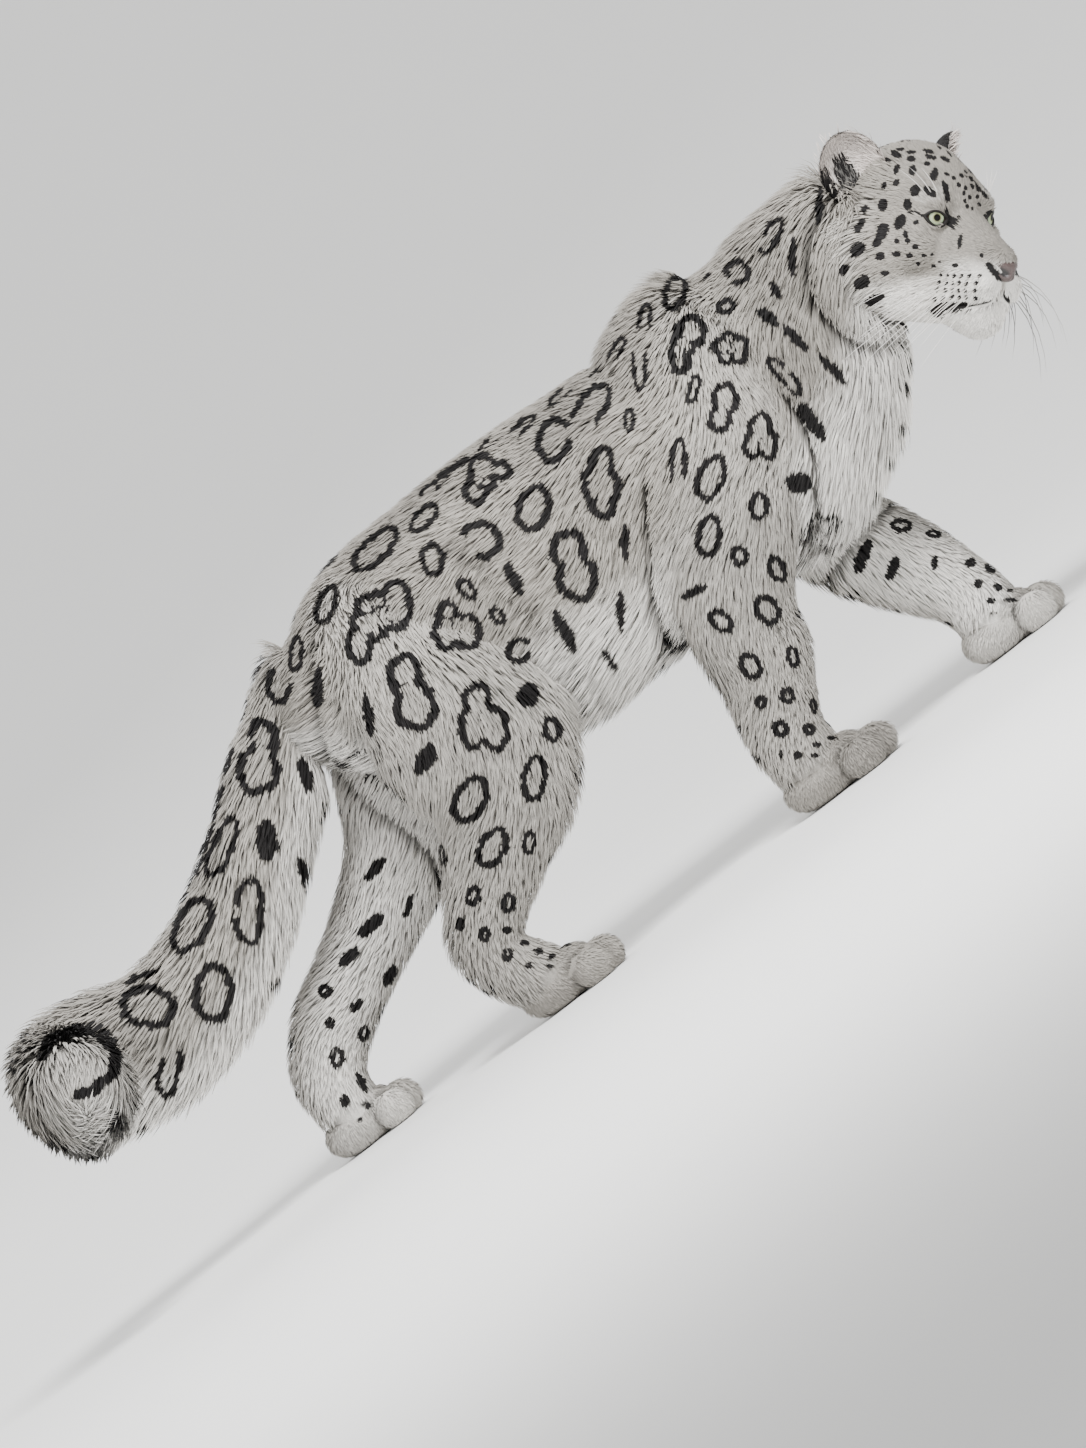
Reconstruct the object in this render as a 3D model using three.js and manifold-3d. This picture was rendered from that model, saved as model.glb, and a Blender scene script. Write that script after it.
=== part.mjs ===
// A life-size snow leopard in a slow climbing walk, set level. Millimetres, +Z up.
// The cat walks towards +X with its head low and turned to its right, so its right side is -Y.
// Trunk, tail and legs are tubes of varying girth round bent ways, the head is one blended form,
// and the long coat is flat tapered locks. The animal is made whole and parted with thin cuts.
import * as THREE from "three";
import { mergeVertices } from "three/addons/utils/BufferGeometryUtils.js";
import Module from "manifold-3d";

const wasm = await Module();
wasm.setup();
const { Manifold } = wasm;
const vec = (x, y, z) => new THREE.Vector3(x, y, z);
const rad = THREE.MathUtils.degToRad;

// Driving sizes
const gap = 0.3; // free space between neighbouring parts
const slope = rad(37.8); // how far the head is tipped down from the line of the back
const headTurn = rad(46); // how far the head looks to the animal's right
const coreShare = 0.5; // how far the flesh and underfur reach into the coat

// Each station of a tube: centre, half width, half size to its top or front and to its bottom or back,
// all out to the tips of the coat, and then the coat's depth at the sides, top and bottom.
const trunkStations = [
  { at: [-252, 0, 497], half: [34, 30, 36], coat: [20, 15, 20] },
  { at: [-232, 0, 487], half: [78, 66, 74], coat: [30, 24, 30] },
  { at: [-190, 0, 470], half: [108, 111, 104], coat: [34, 26, 36] },
  { at: [-135, 0, 456], half: [130, 143, 132], coat: [36, 26, 44] },
  { at: [-65, 0, 443], half: [140, 163, 158], coat: [38, 27, 54] },
  { at: [10, 0, 431], half: [143, 176, 178], coat: [40, 28, 64] },
  { at: [90, 0, 424], half: [147, 183, 187], coat: [42, 28, 72] },
  { at: [170, 0, 422], half: [150, 182, 185], coat: [42, 28, 72] },
  { at: [250, 0, 419], half: [152, 179, 183], coat: [42, 28, 66] },
  { at: [325, 0, 417], half: [150, 185, 184], coat: [42, 30, 60] },
  { at: [385, 0, 426], half: [146, 199, 194], coat: [42, 30, 58] },
  { at: [440, 0, 434], half: [140, 199, 190], coat: [44, 32, 58] },
  { at: [492, 0, 446], half: [130, 178, 166], coat: [46, 34, 58] },
  { at: [540, -2, 468], half: [120, 152, 138], coat: [48, 38, 52] },
  { at: [588, -6, 492], half: [112, 136, 114], coat: [48, 42, 46] },
  { at: [630, -10, 506], half: [104, 120, 100], coat: [44, 40, 40] },
  { at: [668, -14, 512], half: [86, 110, 88], coat: [34, 34, 34] },
];
const trunkCuts = [4.4, 8.6, 12.6]; // station numbers where the trunk is parted
const tailStations = [
  { at: [-196, 0, 518], half: [62, 56, 60], coat: [30, 28, 34] },
  { at: [-240, 0, 488], half: [66, 62, 66], coat: [38, 34, 40] },
  { at: [-303, 0, 436], half: [70, 70, 74], coat: [42, 38, 44] },
  { at: [-371, 0, 382], half: [72, 73, 75], coat: [44, 42, 46] },
  { at: [-452, 0, 325], half: [76, 78, 79], coat: [46, 44, 48] },
  { at: [-525, 0, 290], half: [80, 84, 87], coat: [48, 46, 50] },
  { at: [-590, 0, 274], half: [82, 90, 92], coat: [50, 48, 52] },
  { at: [-642, -2, 276], half: [80, 96, 97], coat: [50, 50, 52] },
  { at: [-690, -18, 283], half: [78, 99, 98], coat: [50, 50, 52] },
  { at: [-722, -58, 287], half: [77, 97, 97], coat: [50, 50, 52] },
  { at: [-729, -106, 289], half: [75, 90, 90], coat: [48, 48, 48] },
  { at: [-720, -150, 289], half: [66, 76, 76], coat: [44, 44, 44] },
  { at: [-708, -184, 288], half: [46, 52, 52], coat: [34, 34, 34] },
  { at: [-700, -206, 287], half: [14, 16, 16], coat: [14, 14, 14] },
];
const tailCuts = [2.6, 5.2, 7.8];
// On a leg, top is its front and bottom its back. The cuts are the station numbers where it is parted.
const legStations = {
  fore_right: {
    cuts: [4.2, 7.4],
    way: [
      { at: [418, -66, 530], half: [46, 62, 62], coat: [26, 24, 24] },
      { at: [398, -78, 455], half: [64, 86, 90], coat: [36, 30, 34] },
      { at: [348, -86, 380], half: [68, 92, 100], coat: [36, 30, 38] },
      { at: [288, -87, 305], half: [62, 80, 92], coat: [34, 26, 40] },
      { at: [252, -84, 245], half: [54, 74, 78], coat: [28, 20, 38] },
      { at: [242, -82, 195], half: [48, 70, 72], coat: [22, 16, 34] },
      { at: [227, -80, 148], half: [44, 58, 64], coat: [18, 12, 28] },
      { at: [212, -79, 102], half: [42, 50, 58], coat: [14, 10, 22] },
      { at: [209, -79, 64], half: [44, 50, 54], coat: [12, 8, 18] },
      { at: [214, -79, 30], half: [42, 48, 50], coat: [10, 8, 14] },
    ],
    paw: { at: [232, -80], length: 160, width: 100, high: 62, turn: -4 },
  },
  fore_left: {
    cuts: [4.2, 7.4],
    way: [
      { at: [424, 66, 530], half: [46, 62, 62], coat: [26, 24, 24] },
      { at: [420, 78, 455], half: [64, 84, 86], coat: [36, 30, 34] },
      { at: [404, 86, 380], half: [68, 86, 88], coat: [36, 30, 38] },
      { at: [396, 87, 310], half: [62, 80, 82], coat: [34, 26, 40] },
      { at: [404, 84, 252], half: [54, 74, 76], coat: [28, 20, 38] },
      { at: [428, 82, 202], half: [48, 68, 72], coat: [22, 16, 34] },
      { at: [458, 80, 152], half: [44, 60, 64], coat: [18, 12, 28] },
      { at: [481, 79, 106], half: [42, 50, 54], coat: [14, 10, 22] },
      { at: [492, 79, 66], half: [44, 48, 50], coat: [12, 8, 18] },
      { at: [494, 79, 30], half: [42, 46, 48], coat: [10, 8, 14] },
    ],
    paw: { at: [508, 80], length: 142, width: 98, high: 62, turn: 4 },
  },
  hind_right: {
    cuts: [4.6, 7.5],
    way: [
      { at: [-112, -66, 525], half: [44, 70, 66], coat: [24, 22, 22] },
      { at: [-98, -82, 455], half: [66, 108, 108], coat: [34, 28, 30] },
      { at: [-86, -90, 385], half: [74, 130, 132], coat: [38, 32, 34] },
      { at: [-90, -92, 318], half: [73, 130, 130], coat: [36, 32, 38] },
      { at: [-112, -92, 256], half: [66, 108, 104], coat: [32, 26, 40] },
      { at: [-155, -90, 204], half: [56, 76, 76], coat: [26, 20, 36] },
      { at: [-200, -88, 160], half: [48, 58, 60], coat: [20, 14, 28] },
      { at: [-229, -87, 122], half: [43, 50, 55], coat: [14, 10, 22] },
      { at: [-227, -86, 84], half: [42, 46, 50], coat: [12, 8, 18] },
      { at: [-206, -85, 48], half: [43, 46, 48], coat: [10, 8, 16] },
      { at: [-192, -85, 26], half: [38, 42, 42], coat: [8, 8, 12] },
    ],
    paw: { at: [-178, -85], length: 142, width: 94, high: 60, turn: -3 },
  },
  hind_left: {
    cuts: [4.1, 7.5],
    way: [
      { at: [-122, 66, 520], half: [44, 68, 66], coat: [24, 22, 22] },
      { at: [-122, 82, 452], half: [66, 102, 100], coat: [34, 28, 30] },
      { at: [-148, 90, 385], half: [74, 116, 112], coat: [38, 32, 34] },
      { at: [-192, 92, 320], half: [72, 104, 100], coat: [36, 30, 38] },
      { at: [-248, 92, 264], half: [64, 80, 80], coat: [32, 24, 40] },
      { at: [-312, 90, 218], half: [56, 62, 66], coat: [26, 18, 36] },
      { at: [-375, 88, 182], half: [49, 55, 58], coat: [20, 14, 28] },
      { at: [-438, 87, 146], half: [45, 54, 58], coat: [14, 12, 22] },
      { at: [-479, 86, 106], half: [42, 50, 54], coat: [12, 8, 18] },
      { at: [-490, 85, 66], half: [43, 47, 48], coat: [10, 8, 16] },
      { at: [-484, 85, 28], half: [40, 44, 44], coat: [8, 8, 12] },
    ],
    paw: { at: [-476, 85], length: 134, width: 94, high: 60, turn: 3 },
  },
};

// The head has its own frame: forward, left and up, from the middle of the head at the eyes' level.
const headAt = vec(723, -42, 482);
const eye = { at: [45, 41, 0], radius: 18, turn: rad(26), lidDepth: 3.4, long: 17, high: 10.5 };
const nose = { at: [128, 0, -63], half: [17, 23, 15], tilt: 2.5, spread: 0.3, waist: 0.78 };
const nostril = { at: [12, 12, -2], half: [9, 5, 4.4] }; // from the middle of the nose
const ear = { at: [-45, 84, 56], half: [25, 43, 51], wall: 7, splay: rad(36), lean: rad(24) };
const mouth = [
  [126, 0, -88],
  [114, 19, -98],
  [91, 36, -104],
  [60, 47, -98],
];
const headForms = [
  { at: [-24, 0, 20], half: [76, 72, 68] }, // skull
  { at: [24, 0, 24], half: [38, 54, 32] }, // forehead
  { from: [46, 0, -16], to: [112, 0, -54], start: 36, end: 24 }, // bridge of the nose
  { at: [40, 38, 15], half: [22, 21, 14] }, // brow over each eye
  { at: [18, 50, -32], half: [44, 30, 38] }, // cheekbone
  { at: [60, 25, -60], half: [34, 21, 36] }, // side of the muzzle
  { at: [95, 19, -80], half: [28, 25, 24] }, // whisker pad
  { at: [85, 0, -118], half: [29, 26, 26] }, // chin
  { from: [80, 12, -106], to: [6, 40, -86], start: 23, end: 34 }, // lower jaw
  { at: [-30, 62, -44], half: [52, 40, 56] }, // underfur of the cheek
  { at: [-66, 0, -12], half: [46, 78, 76] }, // back of the head
];

// The mouth is a thin deep cut along its line, with a roll for each lip above and below it.
const mouthCut = { halfHigh: 1.5, halfDeep: 12, lift: 0, around: 4 };
const lips = [
  { halfHigh: 3.4, halfDeep: 3.4, lift: 4, around: 3 },
  { halfHigh: 3.2, halfDeep: 3.2, lift: -4.4, around: 3 },
];

// Rows of locks: where they begin and end along the part, how many, and how they lie
const trunkLocks = { from: 0.1, to: 0.92, rows: 6, round: 9, lie: -0.17, sweep: 0.3, width: 96, thick: 10 };
const tailLocks = { from: 0.08, to: 0.86, rows: 7, round: 6, lie: 0.16, sweep: 0.2, width: 70, thick: 10 };
const legLocks = { from: 0.16, to: 0.84, rows: 5, round: 5, lie: 0.17, sweep: 0.3, width: 64, thick: 9 };
const ruffLocks = { rings: 2, each: 6, long: [54, 70], shortest: 24, width: [30, 38], thick: 9 };

// The head's own space is a bowl round the back of the skull and a box round the face.
const headBowl = { at: [-4, 0, -8], reach: 146 };
const headBox = { at: [131, 0, -4], size: [262, 360, 380] };
const limbClear = 9; // how far a limb's own space goes past the tips of its coat

// The shared frame of the head
const headForward = vec(
  Math.cos(headTurn) * Math.cos(slope),
  -Math.sin(headTurn),
  -Math.cos(headTurn) * Math.sin(slope),
);
const headUp = vec(Math.sin(slope), 0, Math.cos(slope));
const headLeft = headUp.clone().cross(headForward);
const headFrame = new THREE.Matrix4().makeBasis(headForward, headLeft, headUp).setPosition(headAt);

// A seeded draw, the same on every run
let seed = 20;
function draw(low, high) {
  seed = (seed * 1664525 + 1013904223) % 4294967296;
  return low + ((high - low) * seed) / 4294967296;
}

// A closed three.js geometry, each vertex moved by a function, as a solid that can be cut and joined.
function shaped(geometry, move = (v) => v) {
  const bare = new THREE.BufferGeometry().setAttribute("position", geometry.getAttribute("position"));
  bare.setIndex(geometry.index);
  const whole = mergeVertices(bare, 1e-5);
  const places = whole.getAttribute("position");
  for (let i = 0; i < places.count; i++) {
    const to = move(new THREE.Vector3().fromBufferAttribute(places, i));
    places.setXYZ(i, to.x, to.y, to.z);
  }
  const triVerts = new Uint32Array(whole.index.array);
  return new Manifold(new wasm.Mesh({ numProp: 3, vertProperties: places.array, triVerts }));
}

// An egg with half sizes along the axes of a frame
function egg(half, frame, across = 14, down = 10) {
  const scale = new THREE.Matrix4().makeScale(...half);
  return shaped(new THREE.SphereGeometry(1, across, down), (v) => v.applyMatrix4(scale).applyMatrix4(frame));
}

function largest(solid) {
  return solid.decompose().sort((a, b) => b.volume() - a.volume())[0];
}

// A tube of varying girth along a bent way. Its place is asked by how far along (0 to 1), the angle
// round from its top or front, and the level: 0 on the core, 1 at the tips of the coat.
class Tube {
  constructor(stations, facing, squareness = 1) {
    this.way = new THREE.CatmullRomCurve3(stations.map((s) => vec(...s.at)));
    this.half = new THREE.CatmullRomCurve3(stations.map((s) => vec(...s.half)));
    this.coat = new THREE.CatmullRomCurve3(stations.map((s) => vec(...s.coat)));
    this.facing = facing;
    this.power = squareness;
    this.spans = stations.length - 1;
  }

  // The centre and the three directions at a place along the way
  frame(t) {
    const along = this.way.getTangent(t);
    const side = this.facing.clone().cross(along).normalize();
    const top = along.clone().cross(side);
    return { at: this.way.getPoint(t), along, side, top };
  }

  point(t, angle, level = 1, grow = 0) {
    const within = THREE.MathUtils.clamp(t, 0, 1);
    const { at, side, top } = this.frame(within);
    const half = this.half.getPoint(within);
    const coat = this.coat.getPoint(within).multiplyScalar((1 - coreShare) * (level - 1));
    const [s, c] = [Math.sin(angle), Math.cos(angle)];
    const across = half.x + coat.x + grow;
    const high = c > 0 ? half.y + coat.y + grow : half.z + coat.z + grow;
    const round = (value) => Math.sign(value) * Math.abs(value) ** this.power;
    return at.addScaledVector(side, across * round(s)).addScaledVector(top, high * round(c));
  }

  // Whether a place lies within the core, or that much outside it
  holds(place, beyond = 0) {
    const steps = 3 * this.spans;
    for (let i = 0; i <= steps; i++) {
      const { at, along, side, top } = this.frame(i / steps);
      const off = place.clone().sub(at);
      if (Math.abs(off.dot(along)) > 20) continue;
      const angle = Math.atan2(off.dot(side), off.dot(top));
      if (off.length() < this.point(i / steps, angle, 0, beyond).distanceTo(at)) return true;
    }
    return false;
  }

  solid(level, { around, rows }, grow = 0) {
    const unit = new THREE.CylinderGeometry(1, 1, 1, around, rows);
    return shaped(unit, (v) => {
      const t = v.y + 0.5;
      const ends = t < 0.001 ? -grow : t > 0.999 ? grow : 0;
      const middle = this.frame(t);
      const reach = Math.min(1, Math.hypot(v.x, v.z));
      const out = reach < 0.5 ? middle.at : this.point(t, Math.atan2(v.x, -v.z), level, grow);
      return out.addScaledVector(middle.along, ends);
    });
  }
}

// One lock of hair: flat below, ridged above, tapered to its tip along the points of its spine.
const lockWidths = [0.45, 1, 0.7, 0];
function lock(spine, out, width, thick) {
  const rows = spine.length - 1;
  return shaped(new THREE.ConeGeometry(1, 1, 3, rows), (v) => {
    const row = Math.round((v.y + 0.5) * rows);
    const along = spine[Math.min(row + 1, rows)].clone().sub(spine[Math.max(row - 1, 0)]).normalize();
    const side = along.clone().cross(out).normalize();
    const up = side.clone().cross(along);
    const wide = (width * lockWidths[row]) / Math.sqrt(3);
    const high = thick * lockWidths[row] * 0.67;
    return spine[row].clone().addScaledVector(side, v.x * wide).addScaledVector(up, v.z * high);
  });
}

// Rows of locks over a tube, lying along it and sweeping round towards its bottom.
function coatOf(tube, { from, to, rows, round, lie, sweep, width, thick, clearOf, skip = () => false }) {
  const locks = [];
  for (let row = 0; row < rows; row++) {
    for (let place = 0; place < round; place++) {
      const t = from + ((to - from) * (row + draw(0.4, 0.6))) / rows;
      const angle = ((place + (row % 2) / 2 + draw(-0.07, 0.07)) / round) * 2 * Math.PI - Math.PI;
      const size = draw(0.85, 1.15);
      const turn = Math.sign(angle) * sweep * Math.sin(Math.abs(angle)) * draw(0.8, 1.2);
      if (skip(t, angle)) continue;
      const spine = [-1.2, 0.5, 0.86, 1].map((level, i) =>
        tube.point(t + (lie * size * i) / 3, angle + (turn * i) / 3, level),
      );
      if (clearOf.some((other) => other.holds(spine[1], 4))) continue;
      const { at } = tube.frame(THREE.MathUtils.clamp(t, 0, 1));
      const out = spine[1].clone().sub(at).normalize();
      locks.push(lock(spine, out, width * size, thick));
    }
  }
  return locks;
}

// Signed distance to the head's blended forms, mirrored left and right.
function toEgg(p, at, half) {
  const q = vec(p.x - at[0], p.y - at[1], p.z - at[2]).divide(vec(...half));
  const reach = q.length();
  return (reach * (reach - 1)) / q.divide(vec(...half)).length();
}
function toCone(p, form) {
  const start = vec(...form.from);
  const line = vec(...form.to).sub(start);
  const share = THREE.MathUtils.clamp(p.clone().sub(start).dot(line) / line.lengthSq(), 0, 1);
  const girth = THREE.MathUtils.lerp(form.start, form.end, share);
  return p.distanceTo(start.addScaledVector(line, share)) - girth;
}
const blend = 18; // how softly two forms run together
function toHead(p) {
  const mirrored = vec(p.x, Math.abs(p.y), p.z);
  let near = 1e3;
  for (const form of headForms) {
    const far = form.half ? toEgg(mirrored, form.at, form.half) : toCone(mirrored, form);
    const share = Math.max(blend - Math.abs(near - far), 0) / blend;
    near = Math.min(near, far) - (share * share * blend) / 4;
  }
  return near;
}

// The head's surface, seen from its heart along a direction in the head's frame
const headHeart = vec(22, 0, -28);
function onHead(direction) {
  let [inside, outside] = [0, 260];
  for (let reach = outside; reach > 0; reach -= 4) {
    if (toHead(headHeart.clone().addScaledVector(direction, reach)) < 0) {
      [inside, outside] = [reach, reach + 4];
      break;
    }
  }
  for (let i = 0; i < 12; i++) {
    const middle = (inside + outside) / 2;
    if (toHead(headHeart.clone().addScaledVector(direction, middle)) < 0) inside = middle;
    else outside = middle;
  }
  return headHeart.clone().addScaledVector(direction, inside);
}

const trunk = new Tube(trunkStations, vec(0, 0, 1), 0.92);
const tail = new Tube(tailStations, vec(0, 0, 1));
const legs = Object.entries(legStations).map(([name, leg]) => ({
  name,
  ...leg,
  tube: new Tube(leg.way, vec(1, 0, 0)),
}));

// Head with sockets, lids, lips and mouth
const sides = [-1, 1];
const headEgg = (half, at, across, down) =>
  egg(half, headFrame.clone().multiply(new THREE.Matrix4().setPosition(...at)), across, down);
function eyeFrame(side) {
  const [forward, left, up] = eye.at;
  const turned = new THREE.Matrix4().makeRotationZ(side * eye.turn).setPosition(forward, side * left, up);
  return headFrame.clone().multiply(turned);
}
function eyeBall(side, grow) {
  const radius = eye.radius + grow;
  return egg([radius, radius, radius], eyeFrame(side), 11, 8);
}
function headBare() {
  const facing = vec(0.34, 0, -0.1);
  return shaped(new THREE.IcosahedronGeometry(1, 6), (v) =>
    onHead(v.add(facing).normalize()).applyMatrix4(headFrame),
  );
}

// The almond opening between the lids, as a prism in front of the ball of the eye
function lidOpening(side) {
  const almond = new THREE.Shape();
  const outer = side * eye.long;
  almond.moveTo(outer, 2);
  almond.quadraticCurveTo(0, eye.high * 1.7, -outer, -3.5);
  almond.quadraticCurveTo(0, -eye.high * 1.9, outer, 2);
  const prism = new THREE.ExtrudeGeometry(almond, { depth: 40, bevelEnabled: false, curveSegments: 5 });
  const facing = new THREE.Matrix4().makeBasis(vec(0, 1, 0), vec(0, 0, 1), vec(1, 0, 0));
  const placed = eyeFrame(side).multiply(facing);
  return shaped(prism, (v) => v.applyMatrix4(placed));
}

// A thin band along the mouth, deep into the head, and the lips as rolls beside it
const mouthLine = new THREE.CatmullRomCurve3([
  ...mouth.slice(1).reverse().map(([a, b, c]) => vec(a, -b, c)),
  ...mouth.map((p) => vec(...p)),
]);
function alongMouth({ halfHigh, halfDeep, lift, around }) {
  return shaped(new THREE.CylinderGeometry(1, 1, 1, around, 7), (v) => {
    const t = v.y + 0.5;
    const at = mouthLine.getPoint(t);
    const along = mouthLine.getTangent(t);
    const out = along.clone().cross(vec(0, 0, 1)).normalize();
    const thin = 0.25 + 0.75 * Math.sin(Math.PI * t) ** 0.5;
    return at
      .addScaledVector(vec(0, 0, 1), (lift - v.x * halfHigh) * thin)
      .addScaledVector(out, v.z * halfDeep)
      .applyMatrix4(headFrame);
  });
}

function noseSolid(grow) {
  const [deep, wide, high] = nose.half.map((n) => n + grow);
  const placed = headFrame.clone().multiply(new THREE.Matrix4().setPosition(...nose.at));
  return shaped(new THREE.SphereGeometry(1, 12, 8), (v) => {
    const spread = nose.waist + nose.spread * v.z;
    return vec(v.x * deep - v.z * nose.tilt, v.y * wide * spread, v.z * high).applyMatrix4(placed);
  });
}

function earFrame(side) {
  const [forward, left, up] = ear.at;
  const turned = new THREE.Matrix4()
    .makeRotationX(-side * ear.lean)
    .premultiply(new THREE.Matrix4().makeRotationZ(side * ear.splay))
    .setPosition(forward, side * left, up);
  return headFrame.clone().multiply(turned);
}
function earSolid(side) {
  const shell = egg(ear.half, earFrame(side), 11, 7);
  const hollow = ear.half.map((n) => n - ear.wall);
  hollow[0] = ear.half[0];
  const opening = earFrame(side).multiply(new THREE.Matrix4().setPosition(ear.wall * 1.9, 0, 1));
  return shell.subtract(egg(hollow, opening, 9, 6));
}

// A paw is one sphere pressed flat below, with its front drawn out into four toes. Its points run
// round the paw from one side over the toes to the other, on a toe and between two toes in turn.
const pawSides = 16;
const pawRows = 9;
function pawSolid({ at, length, width, high, turn }) {
  const placed = new THREE.Matrix4().makeRotationZ(rad(turn)).setPosition(...at, 0);
  return shaped(new THREE.SphereGeometry(1, pawSides, pawRows), (v) => {
    const front = v.y; // from the heel at -1 to the tips of the toes at 1
    const full = Math.min(1, Math.hypot(v.x, v.z) * 1.3) * (front > 0 ? 1 : 0.9);
    const round = full > 0 ? Math.atan2(v.z, v.x) : 0;
    const step = Math.round((round / Math.PI) * (pawSides / 2));
    const onToes = THREE.MathUtils.smoothstep(front, -0.1, 0.5);
    const between = step > 0 && step % 2 === 0 && step < pawSides / 2 ? onToes : 0;
    const aside = -Math.cos(round) * full;
    const instep = 1 - 0.34 * THREE.MathUtils.smoothstep(front, -0.2, 0.9);
    const top = Math.max(0, Math.sin(round)) ** 0.7 * full * instep * (1 - 0.16 * between);
    const low = v.z < -1e-6 ? -0.1 : 0.1;
    const curve = 1 - 0.2 * aside * aside * onToes - 0.13 * between;
    const place = vec((front * curve * length) / 2, (aside * width) / 2, high * (low + 0.86 * top));
    return place.applyMatrix4(placed);
  });
}

// The coat: long on belly, chest, tail and the backs of the legs
function allLocks() {
  const limbs = legs.map((leg) => leg.tube);
  const frontOfLowerLeg = (t, angle) => t > 0.5 && Math.abs(angle) < 1.7;
  return [
    ...coatOf(trunk, { ...trunkLocks, clearOf: limbs }),
    ...coatOf(tail, { ...tailLocks, clearOf: [trunk] }),
    ...legs.flatMap((leg) => coatOf(leg.tube, { ...legLocks, clearOf: [trunk], skip: frontOfLowerLeg })),
  ];
}

// The ruff: locks on each cheek that sweep back and down behind the jaw, and stop short of the neck
function ruff() {
  const locks = [];
  for (const side of sides) {
    for (let ring = 0; ring < ruffLocks.rings; ring++) {
      for (let place = 0; place < ruffLocks.each; place++) {
        const fall = rad(38 - 24 * place + draw(-5, 5));
        const back = rad(96 + 18 * ring + draw(-4, 4));
        const out = vec(
          Math.cos(back),
          side * Math.sin(back) * Math.cos(fall),
          Math.sin(back) * Math.sin(fall),
        ).normalize();
        const root = onHead(out);
        const lie = vec(-0.75, side * 0.5, -0.35 + 0.35 * Math.sin(fall)).normalize();
        const spineOf = (long) =>
          [-9, 10, 13, 7].map((lift, i) =>
            root.clone().addScaledVector(out, lift).addScaledVector(lie, (long * (i - 0.3)) / 2.7),
          );
        const onNeck = (place) =>
          place.distanceTo(vec(...headBowl.at)) > headBowl.reach - 4 &&
          trunk.holds(place.clone().applyMatrix4(headFrame), 16);
        let long = draw(...ruffLocks.long) - 6 * ring;
        while (long > ruffLocks.shortest && spineOf(long).some(onNeck)) long *= 0.85;
        const spine = spineOf(long).map((place) => place.applyMatrix4(headFrame));
        const facing = out.clone().transformDirection(headFrame);
        locks.push(lock(spine, facing, draw(...ruffLocks.width), ruffLocks.thick));
      }
    }
  }
  return locks;
}

// How finely the tubes are drawn
const trunkMesh = { around: 12, rows: 15 };
const tailMesh = { around: 8, rows: 12 };
const legMesh = { around: 8, rows: 10 };

let head = headBare();
for (const side of sides) {
  head = head.add(eyeBall(side, eye.lidDepth)).subtract(lidOpening(side)).subtract(eyeBall(side, gap));
}
head = Manifold.union([head, ...lips.map(alongMouth)]);
head = head.subtract(alongMouth(mouthCut)).subtract(noseSolid(gap));

const whole = Manifold.union([
  trunk.solid(0, trunkMesh),
  tail.solid(0, tailMesh),
  ...legs.flatMap((leg) => [leg.tube.solid(0, legMesh), pawSolid(leg.paw)]),
  ...allLocks(),
]).trimByPlane([0, 0, 1], 0);

// Spaces that belong to one part each, made a little larger when they are cut from the others
const headSpace = (grow) => {
  const reach = headBowl.reach + grow;
  const bowl = headEgg([reach, reach, reach], headBowl.at, 12, 8);
  const [long, wide, high] = headBox.size;
  const front = new THREE.BoxGeometry(long + 2 * grow, wide, high);
  const placed = headFrame.clone().multiply(new THREE.Matrix4().setPosition(...headBox.at));
  return bowl.add(shaped(front, (v) => v.applyMatrix4(placed)));
};
const earSpace = (side, grow) => {
  const half = ear.half.map((n, i) => n + grow + (i === 0 ? 10 : 6));
  return egg(half, earFrame(side).multiply(new THREE.Matrix4().setPosition(2, 0, 5)), 8, 6);
};

const parts = new Map();
const furryHead = Manifold.union([head, ...ruff()]);
const headWhole = furryHead.add(whole.intersect(headSpace(0)).subtract(noseSolid(gap)));
let rest = whole.subtract(headSpace(gap));

const earedHead = Manifold.union([headWhole, ...sides.map(earSolid)]);
let bareHead = earedHead;
for (const side of sides) {
  const name = side < 0 ? "right" : "left";
  parts.set("ear_" + name, earedHead.intersect(earSpace(side, 0)));
  bareHead = bareHead.subtract(earSpace(side, gap));
  parts.set("eye_" + name, eyeBall(side, 0));
}
parts.set("head", bareHead);
const nostrils = sides.map((side) => {
  const [forward, left, up] = nostril.at;
  return headEgg(nostril.half, [nose.at[0] + forward, side * left, nose.at[2] + up], 6, 5);
});
parts.set("nose", noseSolid(0).subtract(Manifold.union(nostrils)));

// Parts a solid square across a tube, at a number of stations along it
function partAt(solid, tube, stations, names) {
  let left = solid;
  stations.forEach((station, i) => {
    const { at, along } = tube.frame(station / tube.spans);
    const offset = at.dot(along);
    parts.set(names[i], left.trimByPlane([-along.x, -along.y, -along.z], -offset + gap / 2));
    left = left.trimByPlane([along.x, along.y, along.z], offset + gap / 2);
  });
  parts.set(names[stations.length], left);
}

const tailSpace = (grow) => tail.solid(1, tailMesh, limbClear + grow);
const tailWhole = largest(rest.intersect(tailSpace(0)));
rest = rest.subtract(tailSpace(gap));
partAt(tailWhole, tail, tailCuts, ["tail_1", "tail_2", "tail_3", "tail_4"]);

for (const leg of legs) {
  const space = (grow) => {
    const { paw } = leg;
    const foot = new THREE.BoxGeometry(paw.length * 1.3 + 2 * grow, paw.width * 1.1 + 2 * grow, 70 + grow);
    return leg.tube
      .solid(1, legMesh, limbClear + grow)
      .add(shaped(foot, (v) => v.add(vec(paw.at[0], paw.at[1], 28))));
  };
  const legWhole = largest(rest.intersect(space(0)));
  rest = rest.subtract(space(gap));
  partAt(legWhole, leg.tube, leg.cuts, [leg.name + "_upper", leg.name + "_lower", leg.name + "_paw"]);
}
partAt(largest(rest), trunk, trunkCuts, ["rump", "belly", "chest", "neck"]);

// Colours by part
const coatColour = "#b9b4aa";
const colours = { eye: "#9aa58f", nose: "#4a3a38", ear: "#55504c" };

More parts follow.
